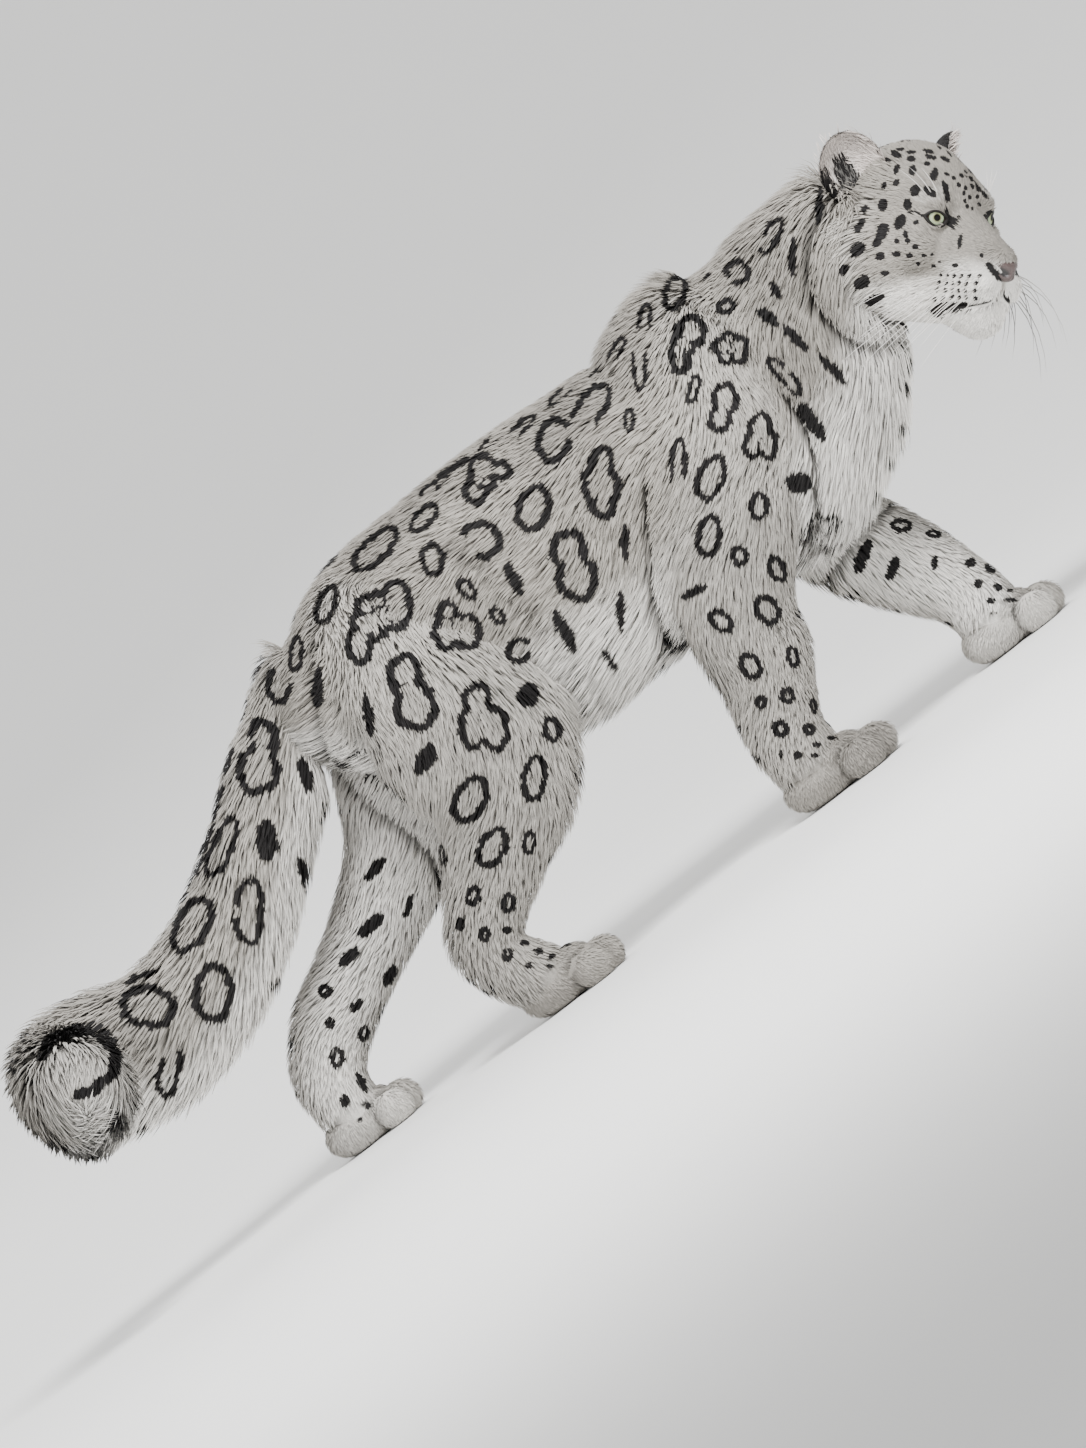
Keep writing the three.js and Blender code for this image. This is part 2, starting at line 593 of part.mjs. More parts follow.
const cat = new THREE.Group();
for (const [name, cut] of parts) {
  const mesh = largest(cut).getMesh();
  const shell = new THREE.BufferGeometry();
  shell.setAttribute("position", new THREE.BufferAttribute(mesh.vertProperties, 3));
  shell.setIndex(new THREE.BufferAttribute(mesh.triVerts, 1));
  const kind = name.split("_")[0];
  const roughness = kind === "eye" ? 0.1 : 0.9;
  const color = colours[kind] ?? coatColour;
  const material = new THREE.MeshStandardMaterial({ color, roughness, metalness: 0 });
  const node = new THREE.Mesh(shell, material);
  node.name = name;
  cat.add(node);
}

// The origin is under the middle of the whole animal
const box = new THREE.Box3().setFromObject(cat, true);
const middle = box.getCenter(vec(0, 0, 0));
cat.position.set(-middle.x, -middle.y, -box.min.z);

export default cat;
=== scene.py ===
import math

import bmesh
import bpy
import numpy as np
from mathutils import Matrix, Vector
from mathutils.bvhtree import BVHTree


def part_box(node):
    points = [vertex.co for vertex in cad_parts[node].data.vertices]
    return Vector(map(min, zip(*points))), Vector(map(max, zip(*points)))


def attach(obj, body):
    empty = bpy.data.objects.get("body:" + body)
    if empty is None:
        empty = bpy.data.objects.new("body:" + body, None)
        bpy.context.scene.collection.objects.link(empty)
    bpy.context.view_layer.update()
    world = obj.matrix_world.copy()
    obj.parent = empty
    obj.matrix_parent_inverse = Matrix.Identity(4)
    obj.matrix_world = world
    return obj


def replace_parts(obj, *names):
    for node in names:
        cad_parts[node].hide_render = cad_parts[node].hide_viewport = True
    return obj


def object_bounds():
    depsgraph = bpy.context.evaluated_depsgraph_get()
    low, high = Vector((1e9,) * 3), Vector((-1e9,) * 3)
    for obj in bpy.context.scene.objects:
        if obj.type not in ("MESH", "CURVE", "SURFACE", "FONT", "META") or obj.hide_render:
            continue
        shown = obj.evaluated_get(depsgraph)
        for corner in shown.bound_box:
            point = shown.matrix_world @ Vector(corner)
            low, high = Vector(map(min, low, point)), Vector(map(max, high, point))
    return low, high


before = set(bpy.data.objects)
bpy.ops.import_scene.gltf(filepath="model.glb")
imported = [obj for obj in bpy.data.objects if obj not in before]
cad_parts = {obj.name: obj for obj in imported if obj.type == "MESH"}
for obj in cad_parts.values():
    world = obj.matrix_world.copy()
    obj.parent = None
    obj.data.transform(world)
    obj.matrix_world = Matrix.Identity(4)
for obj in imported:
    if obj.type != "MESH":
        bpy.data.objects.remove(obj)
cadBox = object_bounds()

# A snow leopard in life size: one skin over trunk, tail, legs and head, and a coat of fine locks
# that lie along it. Tables are in millimetres, meshes in metres, and the cat walks towards +X.
mm = 0.001
chance = np.random.default_rng(20)
fullTurn = 6.28
sides = (-1, 1)
pose = {"headDown": math.radians(37.8), "headTurn": math.radians(46), "headAt": (723, -42, 482)}
coat = {"coreShare": 0.5, "skinLevel": -0.4, "full": 1.0}


def unit(v):
    return v / np.maximum(np.linalg.norm(v, axis=-1, keepdims=True), 1e-9)


def eased(value, low, high):
    t = np.clip((value - low) / (high - low), 0, 1)
    return t * t * (3 - 2 * t)


def dots(a, b):
    return (a * b).sum(-1)


def onLeft(local):
    # the same places on the left half, for forms that are alike on both sides
    return local * [1, 0, 1] + np.abs(local) * [0, 1, 0]


def oval(flat, at, half):
    # how far out flat places lie in an oval, 1 at its edge
    return np.hypot((flat[:, 0] - at[0]) / half[0], (flat[:, 1] - at[1]) / half[1])


def alongCurve(values, t):
    # a smooth curve through evenly counted stations, t from 0 to 1
    spans = len(values) - 1
    padded = np.vstack([2 * values[0] - values[1], values, 2 * values[-1] - values[-2]])
    x = np.clip(t, 0, 1) * spans
    i = np.minimum(x.astype(int), spans - 1)
    f = (x - i)[:, None]
    a, b, c, d = padded[i], padded[i + 1], padded[i + 2], padded[i + 3]
    return 0.5 * (2 * b + (c - a) * f + (2 * a - 5 * b + 4 * c - d) * f**2 + (3 * b - a - 3 * c + d) * f**3)


def ripple(points, scale, seed):
    # soft noise between -1 and 1 from a few crossing waves
    waves = np.random.default_rng(seed)
    total = np.zeros(len(points))
    for _ in range(6):
        way = unit(waves.normal(size=3)) * waves.uniform(0.7, 1.5) / scale
        total += np.sin(points @ way + waves.uniform(0, fullTurn))
    return total / 3


# Head frame: forward, left and up
down, turn = pose["headDown"], pose["headTurn"]
headForward = np.array([math.cos(turn) * math.cos(down), -math.sin(turn), -math.cos(turn) * math.sin(down)])
headUp = np.array([math.sin(down), 0, math.cos(down)])
headLeft = np.cross(headUp, headForward)
headAxes = np.array([headForward, headLeft, headUp])
eye = {"at": (45, 41, 0), "radius": 18, "turn": math.radians(26), "long": 15.5, "high": 10.5, "lid": 3}


def eyeLocal(side):
    forward, left, up = eye["at"]
    return np.array([forward, side * left, up]) * mm


# The solids' frame sits a little off the tables' frame, so the eye sets one against the other.
low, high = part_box("eye_right")
headAt = (np.array(low) + np.array(high)) / 2 - eyeLocal(-1) @ headAxes
shift = headAt - np.array(pose["headAt"]) * mm
shift[2] = 0
headAt = np.array(pose["headAt"]) * mm + shift


# The drawing's own axes. It shows the right side from a little above, rolled by the slope.
above = math.radians(3)
towards = np.array([0, math.cos(above), -math.sin(above)])
upLevel = np.array([0, math.sin(above), math.cos(above)])
right = np.array([math.cos(down), 0, 0]) - upLevel * math.sin(down)
upward = np.array([math.sin(down), 0, 0]) + upLevel * math.cos(down)
drawing = {"centre": (543, 724), "at": (-17.7, 280.8), "dot": 1.21 * mm}
drawnMiddle = np.array([drawing["at"][0] * mm + shift[0], shift[1], drawing["at"][1] * mm])


def toHead(points):
    return (points - headAt) @ headAxes.T


def fromHead(points):
    return headAt + points @ headAxes


class Tube:
    # A body part as a tube round a bent way. Each station: centre, half sizes to side, top and bottom
    # out to the fur tips, and the coat's depth there. Level 1 is the tips, -1 the bare skin.
    def __init__(self, stations, facing, squareness=1.0):
        table = np.array([[*at, *half, *depth] for at, half, depth in stations]) * mm
        self.facing, self.power = np.array(facing, float), squareness
        self.way, self.half, self.depth = table[:, :3] + shift, table[:, 3:6], table[:, 6:]
        self.steps = np.linspace(0, 1, 121)
        self.line = alongCurve(self.way, self.steps)

    def frames(self, t):
        along = unit(alongCurve(self.way, t + 0.004) - alongCurve(self.way, t - 0.004))
        side = unit(np.cross(self.facing, along))
        return alongCurve(self.way, t), along, side, np.cross(along, side)

    def girth(self, t, angle, level):
        half = alongCurve(self.half, t) + alongCurve(self.depth, t) * (1 - coat["coreShare"]) * (level - 1)
        return half[:, 0], np.where(np.cos(angle) > 0, half[:, 1], half[:, 2])

    def places(self, t, angle, level):
        at, _, side, top = self.frames(t)
        across, tall = self.girth(t, angle, level)
        s, c = np.sin(angle), np.cos(angle)
        x, y = np.sign(s) * np.abs(s) ** self.power, np.sign(c) * np.abs(c) ** self.power
        return at + side * (across * x)[:, None] + top * (tall * y)[:, None]

    def near(self, points):
        # for each point: t, angle, how far out (1 at the tips), coat depth and the way's direction
        gaps = (self.line**2).sum(1)[None] - 2 * points @ self.line.T
        t = self.steps[gaps.argmin(1)]
        at, along, side, top = self.frames(t)
        off = points - at
        x, y = dots(off, side), dots(off, top)
        angle = np.arctan2(x, y)
        across, tall = self.girth(t, angle, 1)
        past = np.maximum(np.abs(dots(off, along)) - 0.012, 0) / 0.06
        out = np.hypot(x / across, y / tall) + past
        depth = alongCurve(self.depth, t)
        upright = np.where(y > 0, depth[:, 1], depth[:, 2])
        share = np.sin(angle) ** 2
        return t, angle, out, depth[:, 0] * share + upright * (1 - share), along


trunkTable = [
    ((-252, 0, 497), (34, 30, 36), (20, 15, 20)),
    ((-232, 0, 487), (78, 66, 74), (30, 24, 30)),
    ((-190, 0, 470), (108, 111, 104), (34, 26, 36)),
    ((-135, 0, 456), (130, 143, 132), (36, 26, 44)),
    ((-65, 0, 443), (140, 163, 158), (38, 27, 54)),
    ((10, 0, 431), (143, 176, 178), (40, 28, 64)),
    ((90, 0, 424), (147, 183, 187), (42, 28, 72)),
    ((170, 0, 422), (150, 182, 185), (42, 28, 72)),
    ((250, 0, 419), (152, 179, 183), (42, 28, 66)),
    ((325, 0, 417), (150, 185, 184), (42, 30, 60)),
    ((385, 0, 426), (146, 199, 194), (42, 30, 58)),
    ((440, 0, 434), (140, 199, 190), (44, 32, 58)),
    ((492, 0, 446), (130, 178, 166), (46, 34, 58)),
    ((540, -2, 468), (120, 152, 138), (48, 38, 52)),
    ((588, -6, 492), (112, 136, 114), (48, 42, 46)),
    ((630, -10, 506), (104, 120, 100), (44, 40, 40)),
    ((668, -14, 512), (86, 110, 88), (34, 34, 34)),
]
tailTable = [
    ((-196, 0, 518), (62, 56, 60), (30, 28, 34)),
    ((-240, 0, 488), (66, 62, 66), (38, 34, 40)),
    ((-303, 0, 436), (70, 70, 74), (42, 38, 44)),
    ((-371, 0, 382), (72, 73, 75), (44, 42, 46)),
    ((-452, 0, 325), (76, 78, 79), (46, 44, 48)),
    ((-525, 0, 290), (80, 84, 87), (48, 46, 50)),
    ((-590, 0, 274), (82, 90, 92), (50, 48, 52)),
    ((-642, -2, 276), (80, 96, 97), (50, 50, 52)),
    ((-690, -18, 283), (78, 99, 98), (50, 50, 52)),
    ((-722, -58, 287), (77, 97, 97), (50, 50, 52)),
    ((-729, -106, 289), (75, 90, 90), (48, 48, 48)),
    ((-720, -150, 289), (66, 76, 76), (36, 36, 36)),
    ((-708, -184, 288), (48, 54, 54), (18, 18, 18)),
    ((-700, -204, 287), (18, 20, 20), (6, 6, 6)),
]
legTables = {
    "foreRight": [
        ((418, -66, 530), (46, 62, 62), (26, 24, 24)),
        ((398, -78, 455), (64, 86, 90), (36, 30, 34)),
        ((348, -86, 380), (68, 92, 100), (36, 30, 38)),
        ((288, -87, 305), (62, 80, 92), (34, 26, 40)),
        ((252, -84, 245), (54, 74, 78), (28, 20, 38)),
        ((242, -82, 195), (48, 70, 72), (22, 16, 34)),
        ((227, -80, 148), (44, 58, 64), (18, 12, 28)),
        ((212, -79, 102), (42, 50, 58), (14, 10, 22)),
        ((209, -79, 64), (44, 50, 54), (12, 8, 18)),
        ((214, -79, 30), (42, 48, 50), (10, 8, 14)),
    ],
    "foreLeft": [
        ((424, 66, 530), (46, 62, 62), (26, 24, 24)),
        ((420, 78, 455), (64, 84, 86), (36, 30, 34)),
        ((404, 86, 380), (68, 86, 88), (36, 30, 38)),
        ((396, 87, 310), (62, 80, 82), (34, 26, 40)),
        ((404, 84, 252), (54, 74, 76), (28, 20, 38)),
        ((428, 82, 202), (48, 68, 72), (22, 16, 34)),
        ((458, 80, 152), (44, 60, 64), (18, 12, 28)),
        ((481, 79, 106), (42, 50, 54), (14, 10, 22)),
        ((492, 79, 66), (44, 48, 50), (12, 8, 18)),
        ((494, 79, 30), (42, 46, 48), (10, 8, 14)),
    ],
    "hindRight": [
        ((-112, -66, 525), (44, 70, 66), (24, 22, 22)),
        ((-98, -82, 455), (66, 108, 108), (34, 28, 30)),
        ((-86, -90, 385), (74, 130, 132), (38, 32, 34)),
        ((-90, -92, 318), (73, 130, 130), (36, 32, 38)),
        ((-112, -92, 256), (66, 108, 104), (32, 26, 40)),
        ((-155, -90, 204), (56, 76, 76), (26, 20, 36)),
        ((-200, -88, 160), (48, 58, 60), (20, 14, 28)),
        ((-229, -87, 122), (43, 50, 55), (14, 10, 22)),
        ((-227, -86, 84), (42, 46, 50), (12, 8, 18)),
        ((-206, -85, 48), (43, 46, 48), (10, 8, 16)),
        ((-192, -85, 26), (38, 42, 42), (8, 8, 12)),
    ],
    "hindLeft": [
        ((-122, 66, 520), (44, 68, 66), (24, 22, 22)),
        ((-122, 82, 452), (66, 102, 100), (34, 28, 30)),
        ((-148, 90, 385), (74, 116, 112), (38, 32, 34)),
        ((-192, 92, 320), (72, 104, 100), (36, 30, 38)),
        ((-248, 92, 264), (64, 80, 80), (32, 24, 40)),
        ((-312, 90, 218), (56, 62, 66), (26, 18, 36)),
        ((-375, 88, 182), (49, 55, 58), (20, 14, 28)),
        ((-438, 87, 146), (45, 54, 58), (14, 12, 22)),
        ((-479, 86, 106), (42, 50, 54), (12, 8, 18)),
        ((-490, 85, 66), (43, 47, 48), (10, 8, 16)),
        ((-484, 85, 28), (40, 44, 44), (8, 8, 12)),
    ],
}
paws = {
    "foreRight": {"at": (232, -80), "length": 160, "width": 100, "high": 62, "turn": -4},
    "foreLeft": {"at": (508, 80), "length": 142, "width": 98, "high": 62, "turn": 4},
    "hindRight": {"at": (-178, -85), "length": 142, "width": 94, "high": 60, "turn": -3},
    "hindLeft": {"at": (-476, 85), "length": 134, "width": 94, "high": 60, "turn": 3},
}
trunk = Tube(trunkTable, (0, 0, 1), 0.92)
tail = Tube(tailTable, (0, 0, 1))
legs = [Tube(table, (1, 0, 0)) for table in legTables.values()]
tubes = [trunk, tail, *legs]

# Head and paws are blended forms: eggs with half sizes, and cones between two places
nose = {"at": (126.5, 0, -63), "half": (16, 24.5, 14.5)}
ear = {"at": (-45, 84, 56), "half": (25, 43, 51), "splay": math.radians(36), "lean": math.radians(24)}
mouth = [(60, 47, -98), (91, 36, -104), (114, 19, -98), (126, 0, -88)]
headForms = [
    {"at": (-24, 0, 20), "half": (76, 72, 68)},  # skull
    {"at": (24, 0, 24), "half": (38, 54, 32)},  # forehead
    {"from": (46, 0, -16), "to": (112, 0, -54), "start": 36, "end": 24},  # bridge of the nose
    {"at": (40, 38, 15), "half": (22, 21, 14)},  # brow
    {"at": (18, 50, -32), "half": (44, 30, 38)},  # cheekbone
    {"at": (60, 25, -60), "half": (34, 21, 36)},  # side of the muzzle
    {"at": (97, 19.5, -80), "half": (29, 25, 24)},  # whisker pad
    {"at": (85, 0, -118), "half": (29, 26, 26)},  # chin
    {"from": (80, 12, -106), "to": (6, 40, -86), "start": 23, "end": 34},  # lower jaw
    {"at": (-30, 62, -44), "half": (52, 40, 56)},  # cheek
    {"at": (-66, 0, -12), "half": (46, 78, 76)},  # back of the head
]
headHeart = np.array([22, 0, -28]) * mm


def toEgg(points, at, half):
    q = (points - np.array(at) * mm) / (np.array(half) * mm)
    reach = np.linalg.norm(q, axis=1)
    return reach * (reach - 1) / np.maximum(np.linalg.norm(q / (np.array(half) * mm), axis=1), 1e-9)


def toCone(points, form):
    start, end = np.array(form["from"]) * mm, np.array(form["to"]) * mm
    line = end - start
    share = np.clip((points - start) @ line / (line @ line), 0, 1)
    girth = (form["start"] + (form["end"] - form["start"]) * share) * mm
    return np.linalg.norm(points - start - share[:, None] * line, axis=1) - girth


def blended(points, forms, blend):
    near = np.full(len(points), 1e3)
    for form in forms:
        far = toEgg(points, form["at"], form["half"]) if "half" in form else toCone(points, form)
        share = np.maximum(blend - np.abs(near - far), 0) / blend
        near = np.minimum(near, far) - share * share * blend / 4
    return near


def headField(local):
    mirrored = onLeft(local)
    bare = blended(mirrored, headForms, 18 * mm)
    ball = np.linalg.norm(mirrored - eyeLocal(1), axis=1) - (eye["radius"] + 1.5) * mm
    share = np.maximum(6 * mm - np.abs(bare - ball), 0) / (6 * mm)
    return np.minimum(bare, ball) - share * share * 1.5 * mm


def drawnOnto(field, heart, directions, far):
    # the outermost place of a form's surface, seen from its heart
    inner, reached = np.zeros(len(directions)), np.zeros(len(directions), bool)
    for reach in np.arange(far, 0, -0.004):
        fresh = ~reached
        fresh[fresh] = field(heart + directions[fresh] * reach) < 0
        inner[fresh] = reach
        reached |= fresh
    outer = inner + 0.004
    for _ in range(8):
        middle = (inner + outer) / 2
        within = field(heart + directions * middle[:, None]) < 0
        inner, outer = np.where(within, middle, inner), np.where(within, outer, middle)
    return heart + directions * inner[:, None]


def slopeOf(field, points):
    here = field(points)
    step = 0.0006
    slope = [(field(points + d) - here) / step for d in np.eye(3) * step]
    return here, np.stack(slope, 1)


def settled(field, points, rounds=3):
    for _ in range(rounds):
        here, slope = slopeOf(field, points)
        points = points - slope * (here / np.maximum(dots(slope, slope), 0.3))[:, None]
    return points


def places(bm):
    return np.array([v.co for v in bm.verts])


def place(bm, points):
    for vert, point in zip(bm.verts, points):
        vert.co = point


def meshFrom(bm, name):
    made = bpy.data.meshes.new(name)
    bmesh.ops.recalc_face_normals(bm, faces=bm.faces)
    bm.to_mesh(made)
    bm.free()
    made.shade_smooth()
    return made


def pieceFrom(made, name, finish):
    piece = bpy.data.objects.new(name, made)
    bpy.context.scene.collection.objects.link(piece)
    made.materials.append(finish)
    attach(piece, "root")
    return piece


# The body: rings round each way, bridged into tubes, melted into one form
def addTube(bm, tube, around, rows, level):
    angles = np.linspace(0, 2 * math.pi, around, endpoint=False)
    last = None
    for t in np.linspace(0, 1, rows):
        ring = bmesh.ops.create_circle(bm, segments=around, radius=0.01)["verts"]
        for vert, point in zip(ring, tube.places(np.full(around, t), angles, level)):
            vert.co = point
        edges = list({edge for vert in ring for edge in vert.link_edges})
        if last:
            bmesh.ops.bridge_loops(bm, edges=last + edges)
        if last is None or t == 1:
            bmesh.ops.contextual_create(bm, geom=edges)
        last = edges


def headBlob(bm, sunk):
    ball = bmesh.ops.create_icosphere(bm, subdivisions=5, radius=1)["verts"]
    local = drawnOnto(headField, headHeart, unit(np.array([v.co for v in ball])), 0.24)
    local = local - unit(local - headHeart) * sunk
    for vert, point in zip(ball, fromHead(local)):
        vert.co = point


bodyBuild = {"around": 40, "rows": 56, "voxel": 7 * mm, "smoothing": 8}
bm = bmesh.new()
for tube in tubes:
    addTube(bm, tube, bodyBuild["around"], bodyBuild["rows"], coat["skinLevel"])
headBlob(bm, 5 * mm)
body = bpy.data.objects.new("body", meshFrom(bm, "body"))
bpy.context.scene.collection.objects.link(body)
melt = body.modifiers.new("melt", "REMESH")
melt.mode, melt.voxel_size = "VOXEL", bodyBuild["voxel"]
calm = body.modifiers.new("calm", "SMOOTH")
calm.factor, calm.iterations = 0.5, bodyBuild["smoothing"]
bodyMesh = bpy.data.meshes.new_from_object(body.evaluated_get(bpy.context.evaluated_depsgraph_get()))
bpy.data.objects.remove(body)
print("body", len(bodyMesh.polygons), "faces")

# The head, finer towards the face, with sockets, lips and the line of the mouth
headBuild = {"facing": (0.34, 0, -0.1), "grooveDepth": 6 * mm, "groove": 1.9 * mm, "lip": 1.5 * mm}
mouthLine = alongCurve(np.array(mouth) * mm, np.linspace(0, 1, 60))


def toMouth(local):
    # distance from the line of the mouth, and how high above it
    mirrored = onLeft(local)
    gaps = np.linalg.norm(mirrored[:, None] - mouthLine[None], axis=2)
    nearest = gaps.argmin(1)
    return gaps.min(1), (mirrored - mouthLine[nearest])[:, 2]


def eyeAxes(side):
    gaze = np.array([math.cos(eye["turn"]), side * math.sin(eye["turn"]), 0])
    up = np.array([0, 0, 1.0])
    return gaze, np.cross(up, gaze), up


def almond(steps):
    # the opening between the lids, as (outwards, up) places in millimetres, outer corner first
    outer, inner = np.array([eye["long"], 2]), np.array([-eye["long"], -3.5])
    crown, dip = np.array([0, eye["high"] * 1.5]), np.array([0, -eye["high"] * 2.05])
    t = np.linspace(0, 1, steps // 2, endpoint=False)[:, None]
    over = outer * (1 - t) ** 2 + crown * 2 * t * (1 - t) + inner * t**2
    under = inner * (1 - t) ** 2 + dip * 2 * t * (1 - t) + outer * t**2
    return np.vstack([over, under])


def onEye(side, flat, radius):
    # places on a ball round the eye, for (outwards, up) places on a map of it
    gaze, left, up = eyeAxes(side)
    far = np.maximum(np.linalg.norm(flat, axis=1), 1e-6)
    bend = far / (eye["radius"] + eye["lid"])
    aside = side * flat[:, 0] / far
    direction = (
        gaze * np.cos(bend)[:, None]
        + left * (aside * np.sin(bend))[:, None]
        + up * (flat[:, 1] / far * np.sin(bend))[:, None]
    )
    return eyeLocal(side) + direction * radius[:, None] * mm


def eyeMap(side, local):
    # the reverse of onEye
    gaze, left, up = eyeAxes(side)
    off = local - eyeLocal(side)
    direction = unit(off)
    bend = np.arccos(np.clip(direction @ gaze, -1, 1)) * (eye["radius"] + eye["lid"])
    flat = np.stack([side * (direction @ left), direction @ up], 1)
    return unit(flat) * bend[:, None], np.linalg.norm(off, axis=1) / mm


def refined(bm, within, field):
    points = places(bm)
    chosen = within(points)
    edges = [e for e in bm.edges if chosen[e.verts[0].index] and chosen[e.verts[1].index]]
    bmesh.ops.subdivide_edges(bm, edges=edges, cuts=1, use_grid_fill=True)
    bmesh.ops.triangulate(bm, faces=[f for f in bm.faces if len(f.verts) > 3])
    bm.verts.ensure_lookup_table()
    place(bm, settled(field, places(bm), 2))


outline = almond(64)


def insideAlmond(flat, grow):
    turnsRound = np.arctan2(outline[:, 1], outline[:, 0])
    order = turnsRound.argsort()
    around = np.arctan2(flat[:, 1], flat[:, 0])
    edge = np.interp(around, turnsRound[order], np.linalg.norm(outline[order], axis=1), period=2 * math.pi)
    return np.linalg.norm(flat, axis=1) < edge * grow


def headDetail(local):
    normal = unit(slopeOf(headField, local)[1])
    gap, above = toMouth(local)
    # the lips roll out a little on both sides of a narrow deep line
    depth = -headBuild["grooveDepth"] * np.exp(-((gap / headBuild["groove"]) ** 2))
    lip = headBuild["lip"] * np.exp(-(((np.abs(above) - 5 * mm) / (3 * mm)) ** 2)) * (gap < 16 * mm)
    local = local + normal * (depth + lip)[:, None]
    # the cleft from the nose to the lips
    forward, left, up = local.T / mm
    cleft = np.exp(-((left / 2.2) ** 2)) * eased(forward, 104, 116) * eased(-up, 66, 72) * eased(up, -94, -88)
    local = local - normal * (cleft * 4 * mm)[:, None]
    for side in sides:
        flat, far = eyeMap(side, local)
        sunk = insideAlmond(flat, 1.1) & (far < eye["radius"] + 12) & (far > eye["radius"] - 8)
        inward = eyeLocal(side) + unit(local - eyeLocal(side)) * (eye["radius"] - 4) * mm
        local = np.where(sunk[:, None], inward, local)
    return local


def nearFace(local):
    toEyes = [np.linalg.norm(local - eyeLocal(side), axis=1) for side in sides]
    return (toMouth(local)[0] < 11 * mm) | (np.minimum(*toEyes) < 31 * mm)


bm = bmesh.new()
bmesh.ops.create_icosphere(bm, subdivisions=6, radius=1)
place(bm, drawnOnto(headField, headHeart, unit(places(bm) + headBuild["facing"]), 0.24))
refined(bm, lambda local: local[:, 0] > -10 * mm, headField)
refined(bm, nearFace, headField)
place(bm, fromHead(headDetail(places(bm))))
headMesh = meshFrom(bm, "head")
print("head", len(headMesh.polygons), "faces")

# Paws: a broad heel and four toes
pawForms = [
    {"at": (-26, 0, 28), "half": (52, 39, 32)},  # heel and instep
    {"at": (0, 0, 42), "half": (46, 35, 24)},  # wrist side of the foot
    {"at": (14, 0, 26), "half": (38, 37, 27)},  # ball of the foot
    {"at": (51, 12.5, 23), "half": (32, 12.6, 26)},  # inner toes
    {"at": (33, 35, 22), "half": (31, 13.5, 25)},  # outer toes
]


pawBuild = {"length": 160, "width": 96, "high": 64, "blend": 4.5 * mm, "furDepth": 2 * mm}


def pawField(local):
    return blended(onLeft(local), pawForms, pawBuild["blend"])


def pawFrame(name):
    # how one paw is scaled, turned and placed
    paw = paws[name]
    cos, sin = math.cos(math.radians(paw["turn"])), math.sin(math.radians(paw["turn"]))
    scale = np.array([paw[measure] / pawBuild[measure] for measure in ("length", "width", "high")])
    turned = np.array([[cos, sin, 0], [-sin, cos, 0], [0, 0, 1]])
    return scale, turned, np.array([*(np.array(paw["at"]) * mm + shift[:2]), 0])


pawMeshes = {}
for name in paws:
    bm = bmesh.new()
    bmesh.ops.create_icosphere(bm, subdivisions=5, radius=1)
    heart = np.array([10, 0, 16]) * mm
    local = drawnOnto(pawField, heart, unit(places(bm) + [0.15, 0, 0]), 0.12)
    local = local - unit(slopeOf(pawField, local)[1]) * pawBuild["furDepth"]
    local[:, 2] = np.maximum(local[:, 2], 1.5 * mm)
    scale, turned, at = pawFrame(name)
    place(bm, local * scale @ turned + at)
    pawMeshes[name] = meshFrom(bm, "paw")


def pawCreases(name, points):
    # how near a place is to the creases between the toes, where the coat is painted with shade
    scale, turned, at = pawFrame(name)
    local = (points - at) @ turned.T / scale
    mirrored = onLeft(local)
    outerToe = toEgg(mirrored, pawForms[4]["at"], pawForms[4]["half"])
    between = outerToe - blended(mirrored, pawForms[:4], pawBuild["blend"])
    crease = np.exp(-((between / (5.5 * mm)) ** 2)) * eased(local[:, 0], -6 * mm, 6 * mm)
    middle = np.exp(-((local[:, 1] / (4 * mm)) ** 2)) * eased(local[:, 0], 30 * mm, 44 * mm)
    return np.maximum(crease, middle) * (np.abs(local).max(1) < 90 * mm)


# Ears: rounded cups
def earAxes(side):
    lean, splay = -side * ear["lean"], side * ear["splay"]
    turned = Matrix.Rotation(splay, 3, "Z") @ Matrix.Rotation(lean, 3, "X")
    return np.array(turned).T


def earHollow(side, local):
    # 1 at the edge of the hollow inside the ear, which is painted dark as shade, for places in the ear's own
    # millimetres
    return np.hypot((side * local[:, 1] - 7) / 15, (local[:, 2] + 12) / 31)


def earCentre(side):
    forward, left, up = ear["at"]
    return np.array([forward, side * left, up]) * mm


def toEar(side, local):
    return (local - earCentre(side)) @ earAxes(side).T


earBuild = {"rim": 7 * mm, "cup": 0.76, "furDepth": 2.5 * mm}
earMeshes = {}
for side in sides:
    bm = bmesh.new()
    bmesh.ops.create_icosphere(bm, subdivisions=5, radius=1)
    ball = places(bm)
    deep, wide, tall = np.array(ear["half"]) * mm - earBuild["furDepth"]
    x = np.where(ball[:, 0] < 0, ball[:, 0], -ball[:, 0] * earBuild["cup"])
    x = x * (deep + earBuild["rim"]) + earBuild["rim"]
    local = np.stack([x, ball[:, 1] * wide, ball[:, 2] * tall], 1)
    place(bm, fromHead(earCentre(side) + local @ earAxes(side)))
    earMeshes[side] = meshFrom(bm, "ear")

# One skin from all of these
parts = [("body", bodyMesh), ("head", headMesh), *[("paw", m) for m in pawMeshes.values()]]
parts += [("ear", m) for m in earMeshes.values()]
bm = bmesh.new()
origin = []
for index, (kind, part) in enumerate(parts):
    bm.from_mesh(part)
    origin += [index] * (len(bm.verts) - len(origin))
skinMesh = bpy.data.meshes.new("skin")
bm.to_mesh(skinMesh)
skinTree = BVHTree.FromBMesh(bm)
bm.free()
skinMesh.shade_smooth()
origin = np.array(origin)
partKinds = [kind for kind, part in parts]


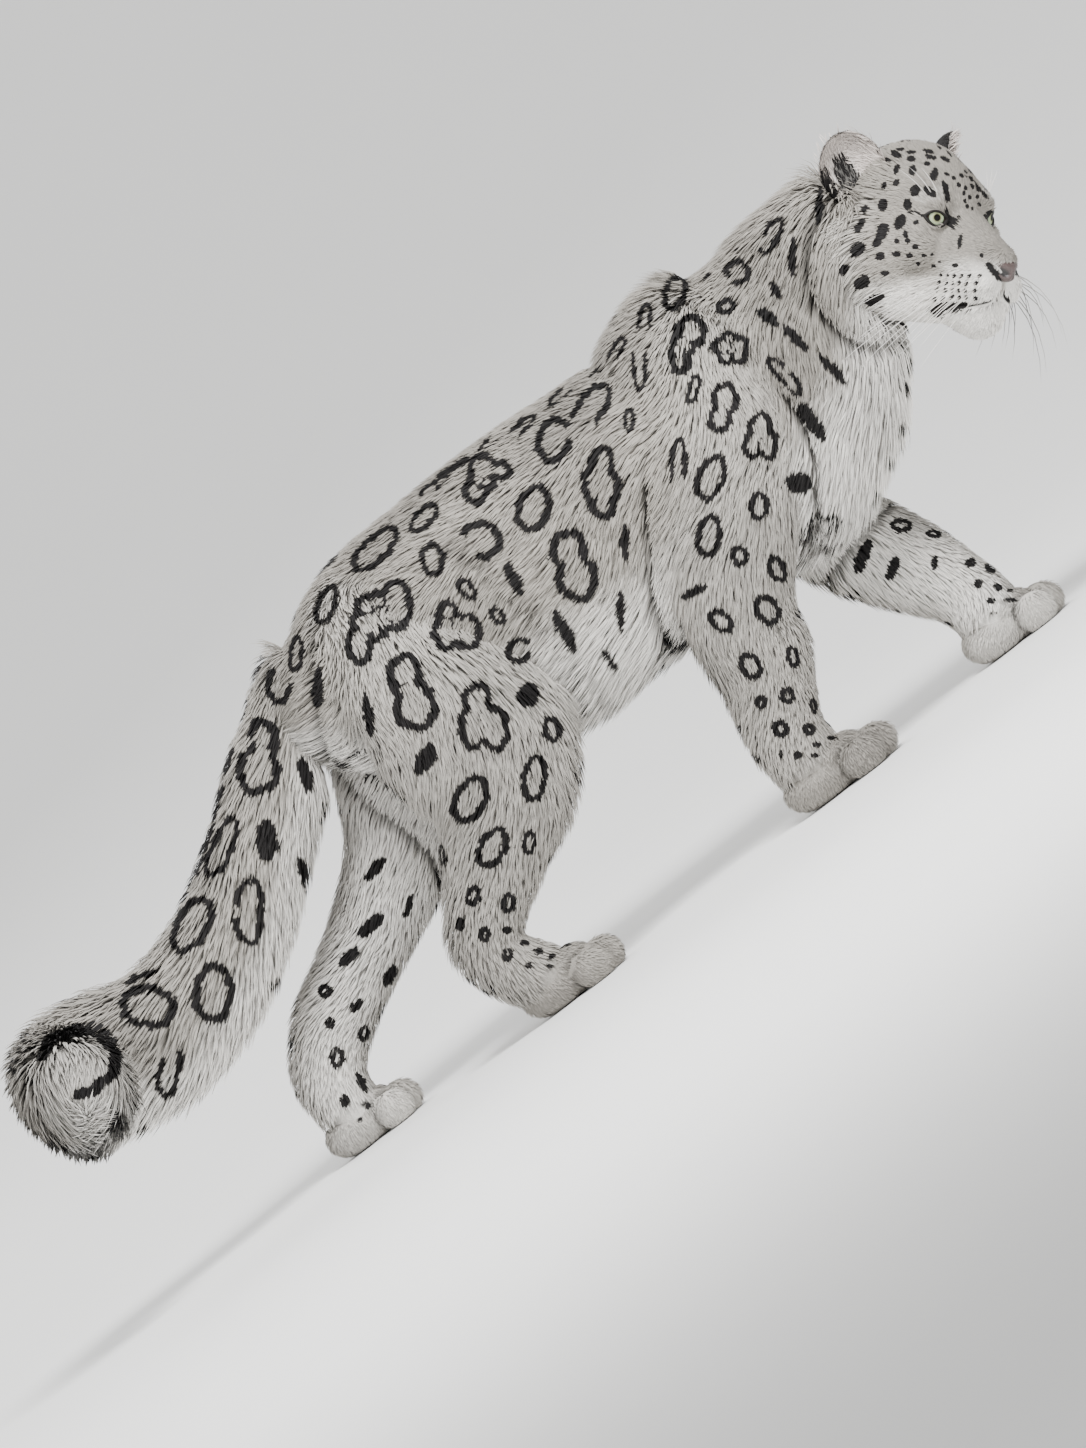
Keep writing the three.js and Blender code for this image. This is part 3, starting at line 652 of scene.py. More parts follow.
# Where the coat of one part lies over another's, as lines of the drawing with the upper part on the left
partings = [
    [
        (828, 222), (818, 240), (812, 262), (811, 285), (818, 308), (830, 322), (847, 333), (865, 334),
        (882, 328), (903, 322),
    ],
    [(652, 470), (648, 500), (651, 530), (651, 560), (656, 590), (668, 612), (681, 634), (692, 660)],
    [(584, 735), (579, 702), (567, 672), (552, 648), (530, 620), (505, 598), (480, 575), (452, 556)],
    [(324, 640), (325, 690), (335, 735), (352, 768), (380, 802), (405, 822), (430, 848), (439, 885)],
    [(815, 580), (832, 558), (850, 540), (864, 524), (884, 506), (905, 496)],
    [(780, 388), (800, 415), (812, 450), (812, 490), (806, 525)],
]
# how dark the painted shade under an upper coat's edge gets, and how wide it runs
shadeUnderCoatBuild = {"depth": 0.8, "wide": 18 * mm}


def overlap(points):
    # how far a place lies from the nearest parting as the drawing shows it, and below 0 on its lower side
    flat = np.stack([(points - drawnMiddle) @ right, (points - drawnMiddle) @ upward], 1)
    nearest = np.full(len(points), 1.0)
    for line in partings:
        line = (np.array(line) - drawing["centre"]) * [1, -1] * drawing["dot"]
        for start, end in zip(line, line[1:]):
            way = end - start
            share = np.clip((flat - start) @ way / (way @ way), 0, 1)
            off = flat - start - share[:, None] * way
            far = np.linalg.norm(off, axis=1)
            side = np.where(way[0] * off[:, 1] - way[1] * off[:, 0] < 0, -1, 1)
            nearest = np.where(far < np.abs(nearest), far * side, nearest)
    return nearest


def paintedShadeUnderCoat(gap):
    # how dark it is in the shade just under the edge of an upper coat
    return shadeUnderCoatBuild["depth"] * (1 - eased(-gap, 0, shadeUnderCoatBuild["wide"])) * (gap < 0)


def arrayOf(source, field, width):
    values = np.zeros(len(source) * width)
    source.foreach_get(field, values)
    return values.reshape(-1, width) if width > 1 else values


skinPoints = arrayOf(skinMesh.vertices, "co", 3)
skinNormals = arrayOf(skinMesh.vertex_normals, "vector", 3)
skinMesh.calc_loop_triangles()
skinTriangles = arrayOf(skinMesh.loop_triangles, "vertices", 3).astype(int)
print("skin", len(skinTriangles), "triangles")


# What the body is like at a place: the lie and depth of the coat, how pale it is, and which region:
# 0 trunk, 1 tail, 2 and 3 forelegs, 4 and 5 hind legs, 6 head
def survey(points):
    found = [tube.near(points) for tube in tubes]
    local = toHead(points)
    forward, left, up = local.T / mm
    headOut = 0.8 + headField(local) / 0.12
    outs = np.stack([f[2] for f in found] + [headOut], 1)
    weight = np.exp(-14 * (outs - outs.min(1, keepdims=True)))
    weight /= weight.sum(1, keepdims=True)

    lies, depths, pales = [], [], []
    for tube, (t, angle, _, depth, along) in zip(tubes, found):
        below = eased(-np.cos(angle), 0.05, 0.85)
        if tube is trunk:
            fall = np.abs(np.sin(angle)) * 0.45 + eased(t, 0.7, 0.95) * 0.5
            lies.append(unit(-along + np.array([0, 0, -1.0]) * fall[:, None]))
            pales.append(0.14 + 0.86 * below)
        elif tube is tail:
            brush = eased(t, 0.6, 0.82)[:, None]
            hanging, end = along + np.array([0, 0, -0.25]), np.array([-0.5, -0.6, -0.6])
            lies.append(unit(hanging * (1 - brush) + end * brush))
            pales.append(np.maximum(0.2 + 0.7 * below, 0.5 * eased(t, 0.72, 0.88)))
        else:
            backwards = np.array([-0.25, 0, 0])
            lies.append(unit(along + backwards))
            centre = np.interp(t, np.linspace(0, 1, len(tube.way)), tube.way[:, 1])
            inner = eased(-np.sign(tube.way[3, 1]) * (points[:, 1] - centre), 0, 35 * mm)
            pales.append(0.3 + 0.6 * inner)
        depths.append(depth)
    # on the head the coat lies away from the nose, and down and back on the cheeks
    away = local - np.array([135, 0, -30]) * mm
    cheek = eased(-forward, -20, 40) * eased(-up, -30, 10)
    nape = eased(-forward, 15, 60) * eased(up, -30, 10)
    behind = unit(away) + np.stack([-0.5 * cheek, 0 * cheek, -0.75 * cheek - 0.8 * nape], 1)
    lies.append(unit(behind) @ headAxes)
    ruff = eased(-forward, -8, 34) * eased(-up, -36, 6) * eased(np.abs(left), 22, 50)
    face = eased(-forward, -110, 10)
    depths.append((3.5 + 7 * face + 38 * ruff + 10 * eased(-forward, 30, 90)) * mm)
    throat = eased(-up, 60, 100)
    muzzle = eased(forward, 60, 95) * eased(-up, 40, 66)
    pales.append(np.clip(0.12 + 0.85 * throat + 0.7 * muzzle + 0.4 * ruff, 0, 1))

    mixIn = lambda values: (weight * np.stack(values, 1)).sum(1)
    lie = (weight[:, :, None] * np.stack(lies, 1)).sum(1)
    return {
        "region": weight.argmax(1),
        "lie": unit(lie),
        "depth": mixIn(depths),
        "pale": mixIn(pales),
        "local": local,
        "found": found,
    }


# Markings as the drawing shows them, in its dots: across, down, width, height and lean in degrees.
# An open one also has the direction and half width of its gap, and a lobed one its rounded lobes.
ringMarks = [
    (693, 260, 15, 8, 0), (709, 280, 17, 15, 0), (674, 293, 26, 40, 20), (724, 308, 21, 18, 0),
    (692, 392, 13, 32, 15), (628, 422, 13, 27, 0), (424, 518, 22, 38, 42), (533, 510, 36, 53, 15),
    (433, 560, 26, 38, -8), (467, 590, 17, 27, -42), (498, 617, 16, 22, -40), (709, 480, 31, 52, 18),
    (758, 508, 21, 31, 0), (707, 538, 28, 44, 10), (738, 558, 19, 23, 0), (776, 570, 20, 30, -28),
    (766, 611, 27, 34, -28), (719, 622, 22, 30, -50), (749, 667, 24, 30, -35), (792, 657, 15, 24, -8),
    (375, 549, 31, 60, 44), (326, 605, 23, 46, 22), (296, 654, 18, 37, 6), (553, 729, 21, 27, -15),
    (471, 799, 35, 54, 24), (535, 778, 28, 48, 6), (493, 847, 30, 48, 30), (530, 842, 16, 26, 5),
    (473, 895, 16, 23, 20), (509, 902, 16, 21, 0), (485, 933, 14, 16, 0), (508, 953, 13, 14, 0),
    (324, 992, 16, 15, 40), (329, 1024, 11, 14, 20), (364, 1035, 12, 17, 20), (337, 1059, 16, 22, 5),
    (222, 847, 28, 66, 24), (192, 924, 38, 66, 34), (215, 992, 43, 64, 0), (149, 1005, 60, 46, 0),
    (903, 524, 24, 15, 0), (936, 532, 16, 10, 0), (786, 696, 15, 19, -10), (759, 703, 13, 15, 0),
    (813, 706, 10, 16, -15), (779, 729, 17, 19, 0), (808, 729, 14, 13, 0),
]
openMarks = [
    (735, 274, 28, 29, 0, 225, 22), (768, 238, 21, 42, 28, 200, 25), (643, 319, 16, 34, 12, 270, 20),
    (638, 371, 18, 45, 0, 90, 18), (783, 378, 17, 50, -40, 60, 30), (591, 407, 34, 52, 35, 245, 32),
    (553, 441, 37, 52, 15, 22, 20), (520, 428, 15, 40, 48, 230, 22), (560, 395, 13, 38, 52, 50, 22),
    (615, 351, 14, 32, 30, 250, 20), (488, 443, 11, 30, 52, 50, 25), (435, 485, 12, 38, 58, 240, 22),
    (481, 541, 46, 40, 0, 210, 42), (520, 651, 30, 25, -20, 10, 22), (279, 684, 29, 44, 0, 55, 50),
    (250, 911, 34, 68, 0, 180, 22), (171, 1069, 25, 60, 12, 90, 25), (677, 466, 19, 56, 5, 270, 20),
    (83, 1057, 88, 76, 0, 222, 42),
]
lobedMarks = [
    (684, 348, [(6, 15, 18, 18), (-6, -10, 12, 22)]),
    (729, 351, [(-8, 3, 11, 11), (8, 3, 11, 11), (0, 9, 11, 10), (-5, -8, 10, 10), (7, -7, 10, 10)]),
    (721, 411, [(3, 9, 15, 18), (-4, -11, 13, 15)]),
    (486, 480, [(-4, 10, 17, 17), (-12, -12, 14, 15), (14, 8, 14, 12)]),
    (601, 485, [(0, 18, 15, 20), (-1, -2, 21, 24), (0, -20, 15, 19)]),
    (574, 566, [(-7, 15, 19, 23), (4, -15, 22, 24)]),
    (457, 627, [(-9, 14, 13, 13), (-10, -8, 15, 17), (10, -6, 16, 19)]),
    (379, 620, [(16, 22, 18, 21), (-11, 14, 15, 14), (18, 5, 17, 16), (-19, -25, 15, 22), (-9, -8, 13, 14)]),
    (412, 693, [(-6, 20, 20, 21), (4, -15, 23, 26)]),
    (484, 719, [(-6, 19, 16, 18), (-9, -10, 17, 23), (11, -10, 16, 24)]),
    (259, 757, [(4, 21, 17, 21), (0, -14, 23, 27)]),
    (759, 439, [(0, 8, 14, 18), (-7, -9, 12, 16), (8, -9, 11, 16)]),
]
solidMarks = [
    (947, 310, 32, 9, 0), (817, 208, 9, 42, 4), (597, 372, 9, 24, 50), (454, 466, 8, 40, 60),
    (514, 580, 14, 36, -25), (624, 545, 10, 38, 0), (620, 612, 9, 42, 0), (565, 633, 14, 46, -25),
    (608, 660, 8, 26, -30), (810, 424, 16, 46, -35), (798, 485, 26, 24, 0), (692, 593, 10, 30, 62),
    (790, 258, 9, 40, 0), (773, 293, 10, 22, -30), (765, 319, 12, 28, -55), (793, 341, 10, 36, -45),
    (831, 372, 10, 42, -42), (318, 688, 13, 42, 4), (529, 695, 24, 25, 0), (369, 716, 11, 48, -8),
    (426, 759, 18, 36, 25), (460, 923, 11, 14, 0), (508, 929, 10, 9, 0), (525, 941, 10, 7, 0),
    (539, 949, 11, 7, 0), (552, 954, 6, 10, 60), (529, 964, 8, 7, 0), (550, 964, 7, 5, 0),
    (374, 870, 12, 32, 45), (409, 907, 8, 25, 20), (370, 926, 14, 34, 50), (348, 958, 12, 26, 50),
    (390, 977, 12, 25, 25), (356, 1007, 9, 19, 35), (362, 1084, 9, 24, -30), (344, 1102, 10, 14, 0),
    (366, 1107, 9, 8, 0), (359, 1121, 6, 6, 0), (307, 775, 13, 37, -15), (268, 840, 22, 45, 0),
    (306, 876, 11, 42, -15), (140, 975, 8, 36, 68), (972, 538, 9, 18, -60), (864, 556, 14, 36, 20),
    (894, 568, 12, 25, 20), (936, 562, 7, 15, 10), (973, 561, 12, 10, 0), (993, 567, 10, 14, -40),
    (980, 583, 9, 10, 0), (1000, 586, 11, 8, 0), (1013, 589, 7, 4, 0), (993, 600, 9, 7, 0),
    (1012, 599, 13, 5, 0), (995, 613, 7, 5, 0), (827, 725, 10, 7, 0), (831, 737, 11, 4, 0),
    (815, 744, 10, 6, 0), (813, 755, 9, 5, 0), (796, 755, 9, 9, 0), (779, 754, 5, 8, 0),
    # strokes along the back and the upper side of the tail
    (322, 566, 7, 44, 48), (284, 624, 8, 40, 32), (254, 670, 7, 36, 24), (239, 714, 7, 36, 20),
    (227, 762, 7, 34, 20), (216, 802, 7, 40, 20), (205, 840, 8, 40, 25), (192, 874, 8, 44, 30),
    (173, 908, 8, 44, 38), (122, 964, 8, 36, 65),
]
# Small marks of the near side of the head, which its other side shows too
headMarks = [
    (990, 276, 8, 25, -42), (894, 156, 7, 13, -50), (909, 161, 9, 7, 0), (894, 172, 7, 11, 20),
    (910, 173, 8, 12, 20), (925, 166, 6, 5, 0), (932, 177, 8, 15, 15), (893, 186, 6, 9, 35),
    (881, 189, 5, 9, 35), (912, 194, 10, 14, 30), (927, 195, 9, 16, -50), (944, 195, 7, 24, -15),
    (862, 212, 7, 10, 50), (880, 208, 10, 12, 30), (904, 208, 9, 11, 0), (857, 228, 8, 18, 35),
    (897, 225, 11, 17, 30), (913, 226, 6, 5, 0), (879, 235, 12, 20, 30), (902, 238, 6, 8, 0),
    (904, 245, 6, 6, 0), (893, 245, 6, 5, 0), (874, 246, 9, 12, 50), (855, 253, 13, 18, 45),
    (912, 251, 7, 4, 0), (877, 260, 10, 9, 0), (893, 258, 9, 6, 0), (906, 260, 8, 5, 0),
    (921, 260, 6, 4, 0), (929, 259, 4, 3, 0), (915, 268, 5, 4, 0), (930, 270, 5, 4, 0), (936, 266, 4, 3, 0),
    (841, 273, 9, 14, 40), (882, 277, 9, 5, 0), (859, 286, 14, 18, 50), (872, 303, 10, 20, 65),
    (956, 245, 5, 16, 10), (951, 269, 7, 4, 0), (977, 259, 4, 5, 0), (957, 188, 4, 6, -20),
    (945, 177, 4, 6, -60), (952, 181, 4, 5, -40), (960, 178, 4, 6, -40), (970, 181, 4, 7, -40),
    (964, 191, 4, 5, 0), (971, 189, 4, 6, -30), (977, 192, 4, 5, 0), (962, 196, 4, 5, 0),
    (968, 200, 4, 5, 0), (976, 199, 4, 5, 0), (963, 204, 4, 5, 0), (965, 209, 4, 5, 30),
    (970, 211, 3, 4, 0), (978, 207, 4, 5, -30), (879, 151, 11, 5, 0), (898, 151, 9, 4, 0),
    (909, 154, 11, 4, 0), (927, 153, 5, 13, -75), (929, 159, 5, 13, -70), (944, 161, 5, 11, -60),
    (885, 162, 9, 5, 0),
]


def markAt(at, normal, across, upwards, blobs, hollow=True, gap=None):
    blobs = np.array(blobs, float) * mm
    # lobes that overlap are one field, so the neck between them is filled
    joined = [
        np.concatenate([(one[:2] + other[:2]) / 2, 0.8 * (one[2:] + other[2:]) / 2])
        for number, one in enumerate(blobs) for other in blobs[number + 1:]
    ]
    blobs = np.array([*blobs, *joined])
    thick = (5 * mm + 0.22 * blobs[:, 2:].min(1).max()) if hollow else 0
    return {
        "at": at, "normal": normal, "across": across, "up": upwards, "blobs": blobs, "thick": thick,
        "gap": gap, "size": (np.hypot(blobs[:, 0], blobs[:, 1]) + blobs[:, 2:].max(1)).max(),
        "wobble": chance.uniform(0, fullTurn, 3),
    }


def overSkin(at, normal, width, tall, kind):
    # a mark that lies flat on the skin
    across = np.array([1.0, 0, 0]) - normal * normal[0]
    if np.linalg.norm(across) < 0.3:
        across = np.array([0, 0, -1.0]) + normal * normal[2]
    across = unit(across)
    blobs = [(0, 0, width / 2, tall / 2)]
    if kind == "lobed":
        turn = chance.uniform(-0.4, 0.4)
        aside, along = math.sin(turn) * 0.2 * tall, math.cos(turn) * 0.2 * tall
        blobs = [(aside, along, 0.4 * width, 0.32 * tall), (-aside, -along, 0.48 * width, 0.34 * tall)]
    gap = (chance.uniform(0, fullTurn), 0.4) if kind == "open" else None
    return markAt(at, normal, across, np.cross(normal, across), blobs, kind != "solid", gap)


def pictured(u, v):
    # the skin behind a dot of the drawing: the dot in depth beside it, and how the skin faces
    u, v = (u - drawing["centre"][0]) * drawing["dot"], (drawing["centre"][1] - v) * drawing["dot"]
    start = drawnMiddle + right * u + upward * v
    hit, normal = skinTree.ray_cast(Vector(start - towards), Vector(towards))[:2]
    if hit is None:
        hit, normal = skinTree.find_nearest(Vector(start), 80 * mm)[:2]
    if hit is None:
        return None
    return start + towards * float((np.array(hit) - start) @ towards), np.array(normal)


def nearestOnSkin(point):
    at, normal = skinTree.find_nearest(Vector(point))[:2]
    return np.array(at), np.array(normal)


def fromDrawing(u, v, lean, blobs, hollow=True, gap=None):
    seen = pictured(u, v)
    if seen is None:
        return
    lean = math.radians(lean)
    across = right * math.cos(lean) - upward * math.sin(lean)
    upwards = upward * math.cos(lean) + right * math.sin(lean)
    blobs = np.array(blobs) * drawing["dot"] / mm
    marks.append(markAt(*seen, across, upwards, blobs, hollow, gap))


marks = []
for u, v, width, tall, lean in ringMarks:
    fromDrawing(u, v, lean, [(0, 0, width / 2, tall / 2)])
for u, v, width, tall, lean, gapAt, gapHalf in openMarks:
    gap = math.radians(gapAt + lean), math.radians(gapHalf)
    fromDrawing(u, v, lean, [(0, 0, width / 2, tall / 2)], gap=gap)
for u, v, blobs in lobedMarks:
    fromDrawing(u, v, 0, blobs)
for u, v, width, tall, lean in solidMarks:
    fromDrawing(u, v, lean, [(0, 0, width / 2, tall / 2)], hollow=False)
for u, v, width, tall, lean in headMarks:
    fromDrawing(u, v, lean, [(0, 0, width / 2, tall / 2)], hollow=False)
    local = toHead(marks[-1]["at"][None])[0]
    if local[1] < -8 * mm:
        mirrored = fromHead(np.array([local * [1, -1, 1]]))[0]
        marks.append(overSkin(*nearestOnSkin(mirrored), width * 1.2, tall * 1.2, "solid"))


def whiskerRoot(side, row, number):
    heart = np.array([117 - 10.5 * number - 2 * row, 0, -70 - 8.5 * row]) * mm
    return drawnOnto(headField, heart, np.array([[0.0, side, 0]]), 0.07)[0]


whiskerBuild = {"rows": 4, "each": 6, "long": (80, 135), "wide": 1.3 * mm}
for side in sides:
    for row in range(whiskerBuild["rows"]):
        for number in range(whiskerBuild["each"]):
            root = fromHead(whiskerRoot(side, row, number)[None])[0]
            marks.append(overSkin(*nearestOnSkin(root), 7, 5, "solid"))
drawnCount = len(marks)


def fillMarks(tries, spread):
    # the sides that the drawing doesn't show, in the same manner
    facesUs = skinNormals[:, 1] < -0.3
    usable = np.flatnonzero(~facesUs & ((origin == 0) | (origin == 1)))
    chosen = chance.choice(usable, tries)
    about = survey(skinPoints[chosen])
    centres = np.array([m["at"] for m in marks])
    reaches = np.array([m["size"] for m in marks])
    for row, index in enumerate(chosen):
        point, normal, region = skinPoints[index], skinNormals[index], about["region"][row]
        if point[2] < 55 * mm:
            continue
        if region == 6:
            if about["local"][row][0] > 20 * mm or about["local"][row][2] < -30 * mm:
                continue
            width, tall, kind = chance.uniform(14, 24), chance.uniform(10, 16), "solid"
        elif region < 2:
            belly = about["pale"][row]
            width, tall = chance.uniform(38, 76), chance.uniform(30, 62)
            kind = chance.choice(["ring", "lobed", "solid", "open"], p=[0.4, 0.3, 0.2, 0.1])
            if belly > 0.8 or kind == "solid":
                width, tall, kind = width * 0.45, tall * 0.5, "solid"
        else:
            t = about["found"][region][0][row]
            size = np.interp(t, [0.2, 0.45, 0.7, 1], [46, 34, 20, 11])
            width, tall = size * chance.uniform(0.8, 1.2), size * chance.uniform(0.7, 1.1)
            kind = "ring" if size > 30 and chance.random() < 0.6 else "solid"
            if kind == "solid" and size > 30:
                width, tall = width * 0.5, tall * 0.6
        reach = max(width, tall) * mm / 2
        room = np.linalg.norm(centres - point, axis=1) - reaches - reach
        if room.min() < spread * (0.3 + reach / (40 * mm)):
            continue
        marks.append(overSkin(point, normal, width, tall, kind))
        centres, reaches = np.vstack([centres, point]), np.append(reaches, reach)


fillMarks(5000, 9 * mm)
print("markings", drawnCount, "drawn and", len(marks) - drawnCount, "more")


def darkness(points, normals):
    # points: for each lock a row of samples from its root to its tip. Also given: how far within a mark.
    mark, within = np.zeros(points.shape[:2]), np.zeros(points.shape[:2])
    middles = points[:, points.shape[1] // 2]
    reach = np.linalg.norm(points[:, -1] - points[:, 0], axis=1) / 2
    ragged = chance.normal(0, 0.7 * mm, (len(points), 1))
    soft = 0.6 * mm
    for m in marks:
        off = middles - m["at"]
        near = dots(off, off) < (1.8 * m["size"] + 15 * mm + reach) ** 2
        near = np.flatnonzero(near & (normals @ m["normal"] > 0.1))
        if not len(near):
            continue
        off = points[near] - m["at"]
        a, b = off @ m["across"], off @ m["up"]
        around, w = np.arctan2(b, a), m["wobble"]
        out = np.full(a.shape, 1.0)
        for x, y, wide, tall in m["blobs"]:
            far = np.hypot((a - x) / wide, (b - y) / tall)
            slope = np.maximum(np.hypot((a - x) / wide**2, (b - y) / tall**2), 1e-3)
            out = np.minimum(out, far * (far - 1) / slope)
        waves = np.sin(2 * around + w[0]) + 0.8 * np.sin(5 * around + w[1]) + 0.7 * np.sin(9 * around + w[2])
        out += 0.03 * m["size"] * waves + ragged[near] * min(1, m["size"] / (12 * mm))
        filled = 1 - eased(out, -soft, soft)
        value = filled
        if m["thick"]:
            value = filled * (1 - eased(-out, m["thick"] - soft, m["thick"] + soft))
            within[near] = np.maximum(within[near], filled)
        if m["gap"]:
            value = value * (1 - eased(np.cos(around - m["gap"][0]) - math.cos(m["gap"][1]), -0.04, 0.04))
        mark[near] = np.maximum(mark[near], value)
    return mark, within


# What the skin shows: markings, pale underside, bare or dark places of the face and ears, and painted shade
# in the ears' hollows and on the paws
def tinted(points, normals, kinds, about):
    pale, warm, mark = about["pale"].copy(), np.zeros(len(points)), np.zeros(len(points))
    local = about["local"]
    forward, left, up = local.T / mm
    near = about["region"] == 6
    lips = 1 - eased(toMouth(local)[0], 3.8 * mm, 5.8 * mm)
    toCorner = np.linalg.norm(onLeft(local) - np.array([66, 46, -106]) * mm, axis=1)
    corner = (1 - eased(toCorner, 8 * mm, 15 * mm)) * 0.9
    cleft = (np.abs(left) < 1.8) & (forward > 100) & (up < -70) & (up > -94)
    mark = np.where(near, np.maximum(np.maximum(lips, corner), cleft), mark)
    for side in sides:
        # the dark rim round the eye and the lines that run from its corners
        flat, far = eyeMap(side, local)
        close = near & (far < 40)
        rim = insideAlmond(flat, 1.28) & close
        for at, half in (((-17.5, -3), (5, 8)), ((-23, -11), (4.5, 6)), ((22, 3), (9, 2.2))):
            rim |= close & (oval(flat, at, half) < 1)
        mark = np.where(rim, 1, mark)
        brow = close & (oval(flat, (0, 20), (20, 6)) < 1)
        pale = np.where(brow, np.maximum(pale, 0.3), pale)
        # ears are black behind with a pale middle, and pale inside with painted shade in the hollow
        earLocal = toEar(side, local) / mm
        isEar = (kinds == "ear") & (np.sign(left) == side)
        inFront = normals @ headAxes.T @ earAxes(side).T[:, 0] > 0.05
        behind = isEar & ~inFront
        middle = oval(earLocal[:, 1:], (0, 4), (17, 18))
        mark = np.where(behind, eased(middle, 0.7, 1.15) * eased(earLocal[:, 2], -38, -26), mark)
        hollow = 1 - eased(earHollow(side, earLocal), 0.75, 1.25)
        outerEdge = eased(side * earLocal[:, 1], 21, 29) * eased(-earLocal[:, 2], -18, 0)
        mark = np.where(isEar & inFront, np.maximum(0.85 * hollow, outerEdge), mark)
        warm = np.where(isEar & inFront, 0.3 * (1 - hollow), warm)
        pale = np.where(isEar, 0.85, pale)
    # painted shade: the paws are made less pale, darker than the coat of the legs above them
    pale = np.where(kinds == "paw", 0.6 * pale, pale)
    return mark, pale, warm


skinKinds = np.array([partKinds[i] for i in origin])
skinAbout = survey(skinPoints)
skinMark, skinPale, skinWarm = tinted(skinPoints, skinNormals, skinKinds, skinAbout)
drawnMark, skinWithin = darkness(skinPoints[:, None], skinNormals)
skinMark = np.maximum(skinMark, np.maximum(drawnMark[:, 0], 0.14 * skinWithin[:, 0]) * (skinKinds != "ear"))


def colourOn(made, mark, pale, tone, warm):
    layer = made.color_attributes.new("coat", "FLOAT_COLOR", "POINT")
    layer.data.foreach_set("color", np.stack([mark, pale, tone, warm], 1).ravel())


colourOn(skinMesh, skinMark, skinPale, 0.5 + 0.5 * ripple(skinPoints, 0.03, 3), skinWarm)
# painted shade on the skin just under the edge of an upper coat, on the sides the camera sees
skinShade = skinMesh.attributes.new("shade", "FLOAT", "POINT")
skinShade.data.foreach_set("value", paintedShadeUnderCoat(overlap(skinPoints)) * (skinNormals @ towards < -0.15))
print("skin coloured")

# Which triangles of the skin lie hidden in another part, and carry no fur
middles = skinPoints[skinTriangles].mean(1)
triangleKinds = skinKinds[skinTriangles[:, 0]]
bodyTree = BVHTree.FromPolygons(
    [v.co for v in bodyMesh.vertices], [tuple(p.vertices) for p in bodyMesh.polygons], epsilon=0.0
)


def insideBody(points, sunk):
    within = np.zeros(len(points), bool)
    for i, point in enumerate(points):
        at, normal = bodyTree.find_nearest(Vector(point))[:2]
        within[i] = (Vector(point) - at).dot(normal) < -sunk
    return within


buried = np.zeros(len(middles), bool)
onBody = triangleKinds == "body"
buried[onBody] = headField(toHead(middles[onBody])) < -3 * mm
buried[~onBody] = insideBody(middles[~onBody], 1.5 * mm)
onEar = triangleKinds == "ear"
buried[onEar] |= headField(toHead(middles[onEar])) < -1 * mm
for name, paw in paws.items():
    low = onBody & (middles[:, 2] < 60 * mm)
    away = middles[low][:, :2] - np.array(paw["at"]) * mm - shift[:2]
    buried[np.flatnonzero(low)[oval(away, (0, 0), (0.07, 0.045)) < 0.9]] = True
middleAbout = survey(middles)
middleLocal = middleAbout["local"]
bare = (toMouth(middleLocal)[0] < 4.6 * mm) & (middleAbout["region"] == 6)
noseOff = (middleLocal - np.array(nose["at"]) * mm) / (np.array(nose["half"]) * mm)
bare |= np.linalg.norm(noseOff, axis=1) < 1.02
for side in sides:
    flat, far = eyeMap(side, middleLocal)
    bare |= insideAlmond(flat, 1.35) & (far < 34)
bare |= middles[:, 2] < 2.5 * mm
corners = skinPoints[skinTriangles]
areas = np.linalg.norm(np.cross(corners[:, 1] - corners[:, 0], corners[:, 2] - corners[:, 0]), axis=1) / 2


# One lock of hair: a three-sided cone, cut into rows that bend along its spine
def lockShape(levels):
    bm = bmesh.new()
    bmesh.ops.create_cone(bm, cap_ends=True, segments=3, radius1=1, radius2=0, depth=1)
    bmesh.ops.translate(bm, verts=bm.verts, vec=(0, 0, 0.5))
    bmesh.ops.remove_doubles(bm, verts=bm.verts, dist=1e-4)
    for level in levels[1:-1]:
        everything = [*bm.verts, *bm.edges, *bm.faces]
        bmesh.ops.bisect_plane(bm, geom=everything, plane_co=(0, 0, level), plane_no=(0, 0, 1))
    bmesh.ops.recalc_face_normals(bm, faces=bm.faces)
    rows, offsets = [], []
    for vert in bm.verts:
        shrunk = 1 - vert.co.z
        rows.append(int(np.abs(np.array(levels) - vert.co.z).argmin()))
        offsets.append((vert.co.x / shrunk, vert.co.y / shrunk) if shrunk > 1e-3 else (0, 0))
    faces = [[v.index for v in f.verts] for f in bm.faces]
    bm.free()
    return np.array(rows), np.array(offsets), faces


def darkBands(mark):
    # the last two dark stretches along each lock, as where they begin and end
    samples = mark.shape[1]
    bands, before = np.full((len(mark), 4), -1.0), np.zeros(len(mark), bool)
    for number in range(samples):
        dark = mark[:, number] > 0.45
        fresh = dark & ~before
        bands[fresh, :2] = bands[fresh, 2:]
        bands[fresh, 2] = (number - 0.5) / (samples - 1)
        bands[dark, 3] = (number + 0.5) / (samples - 1)
        before = dark
    return bands


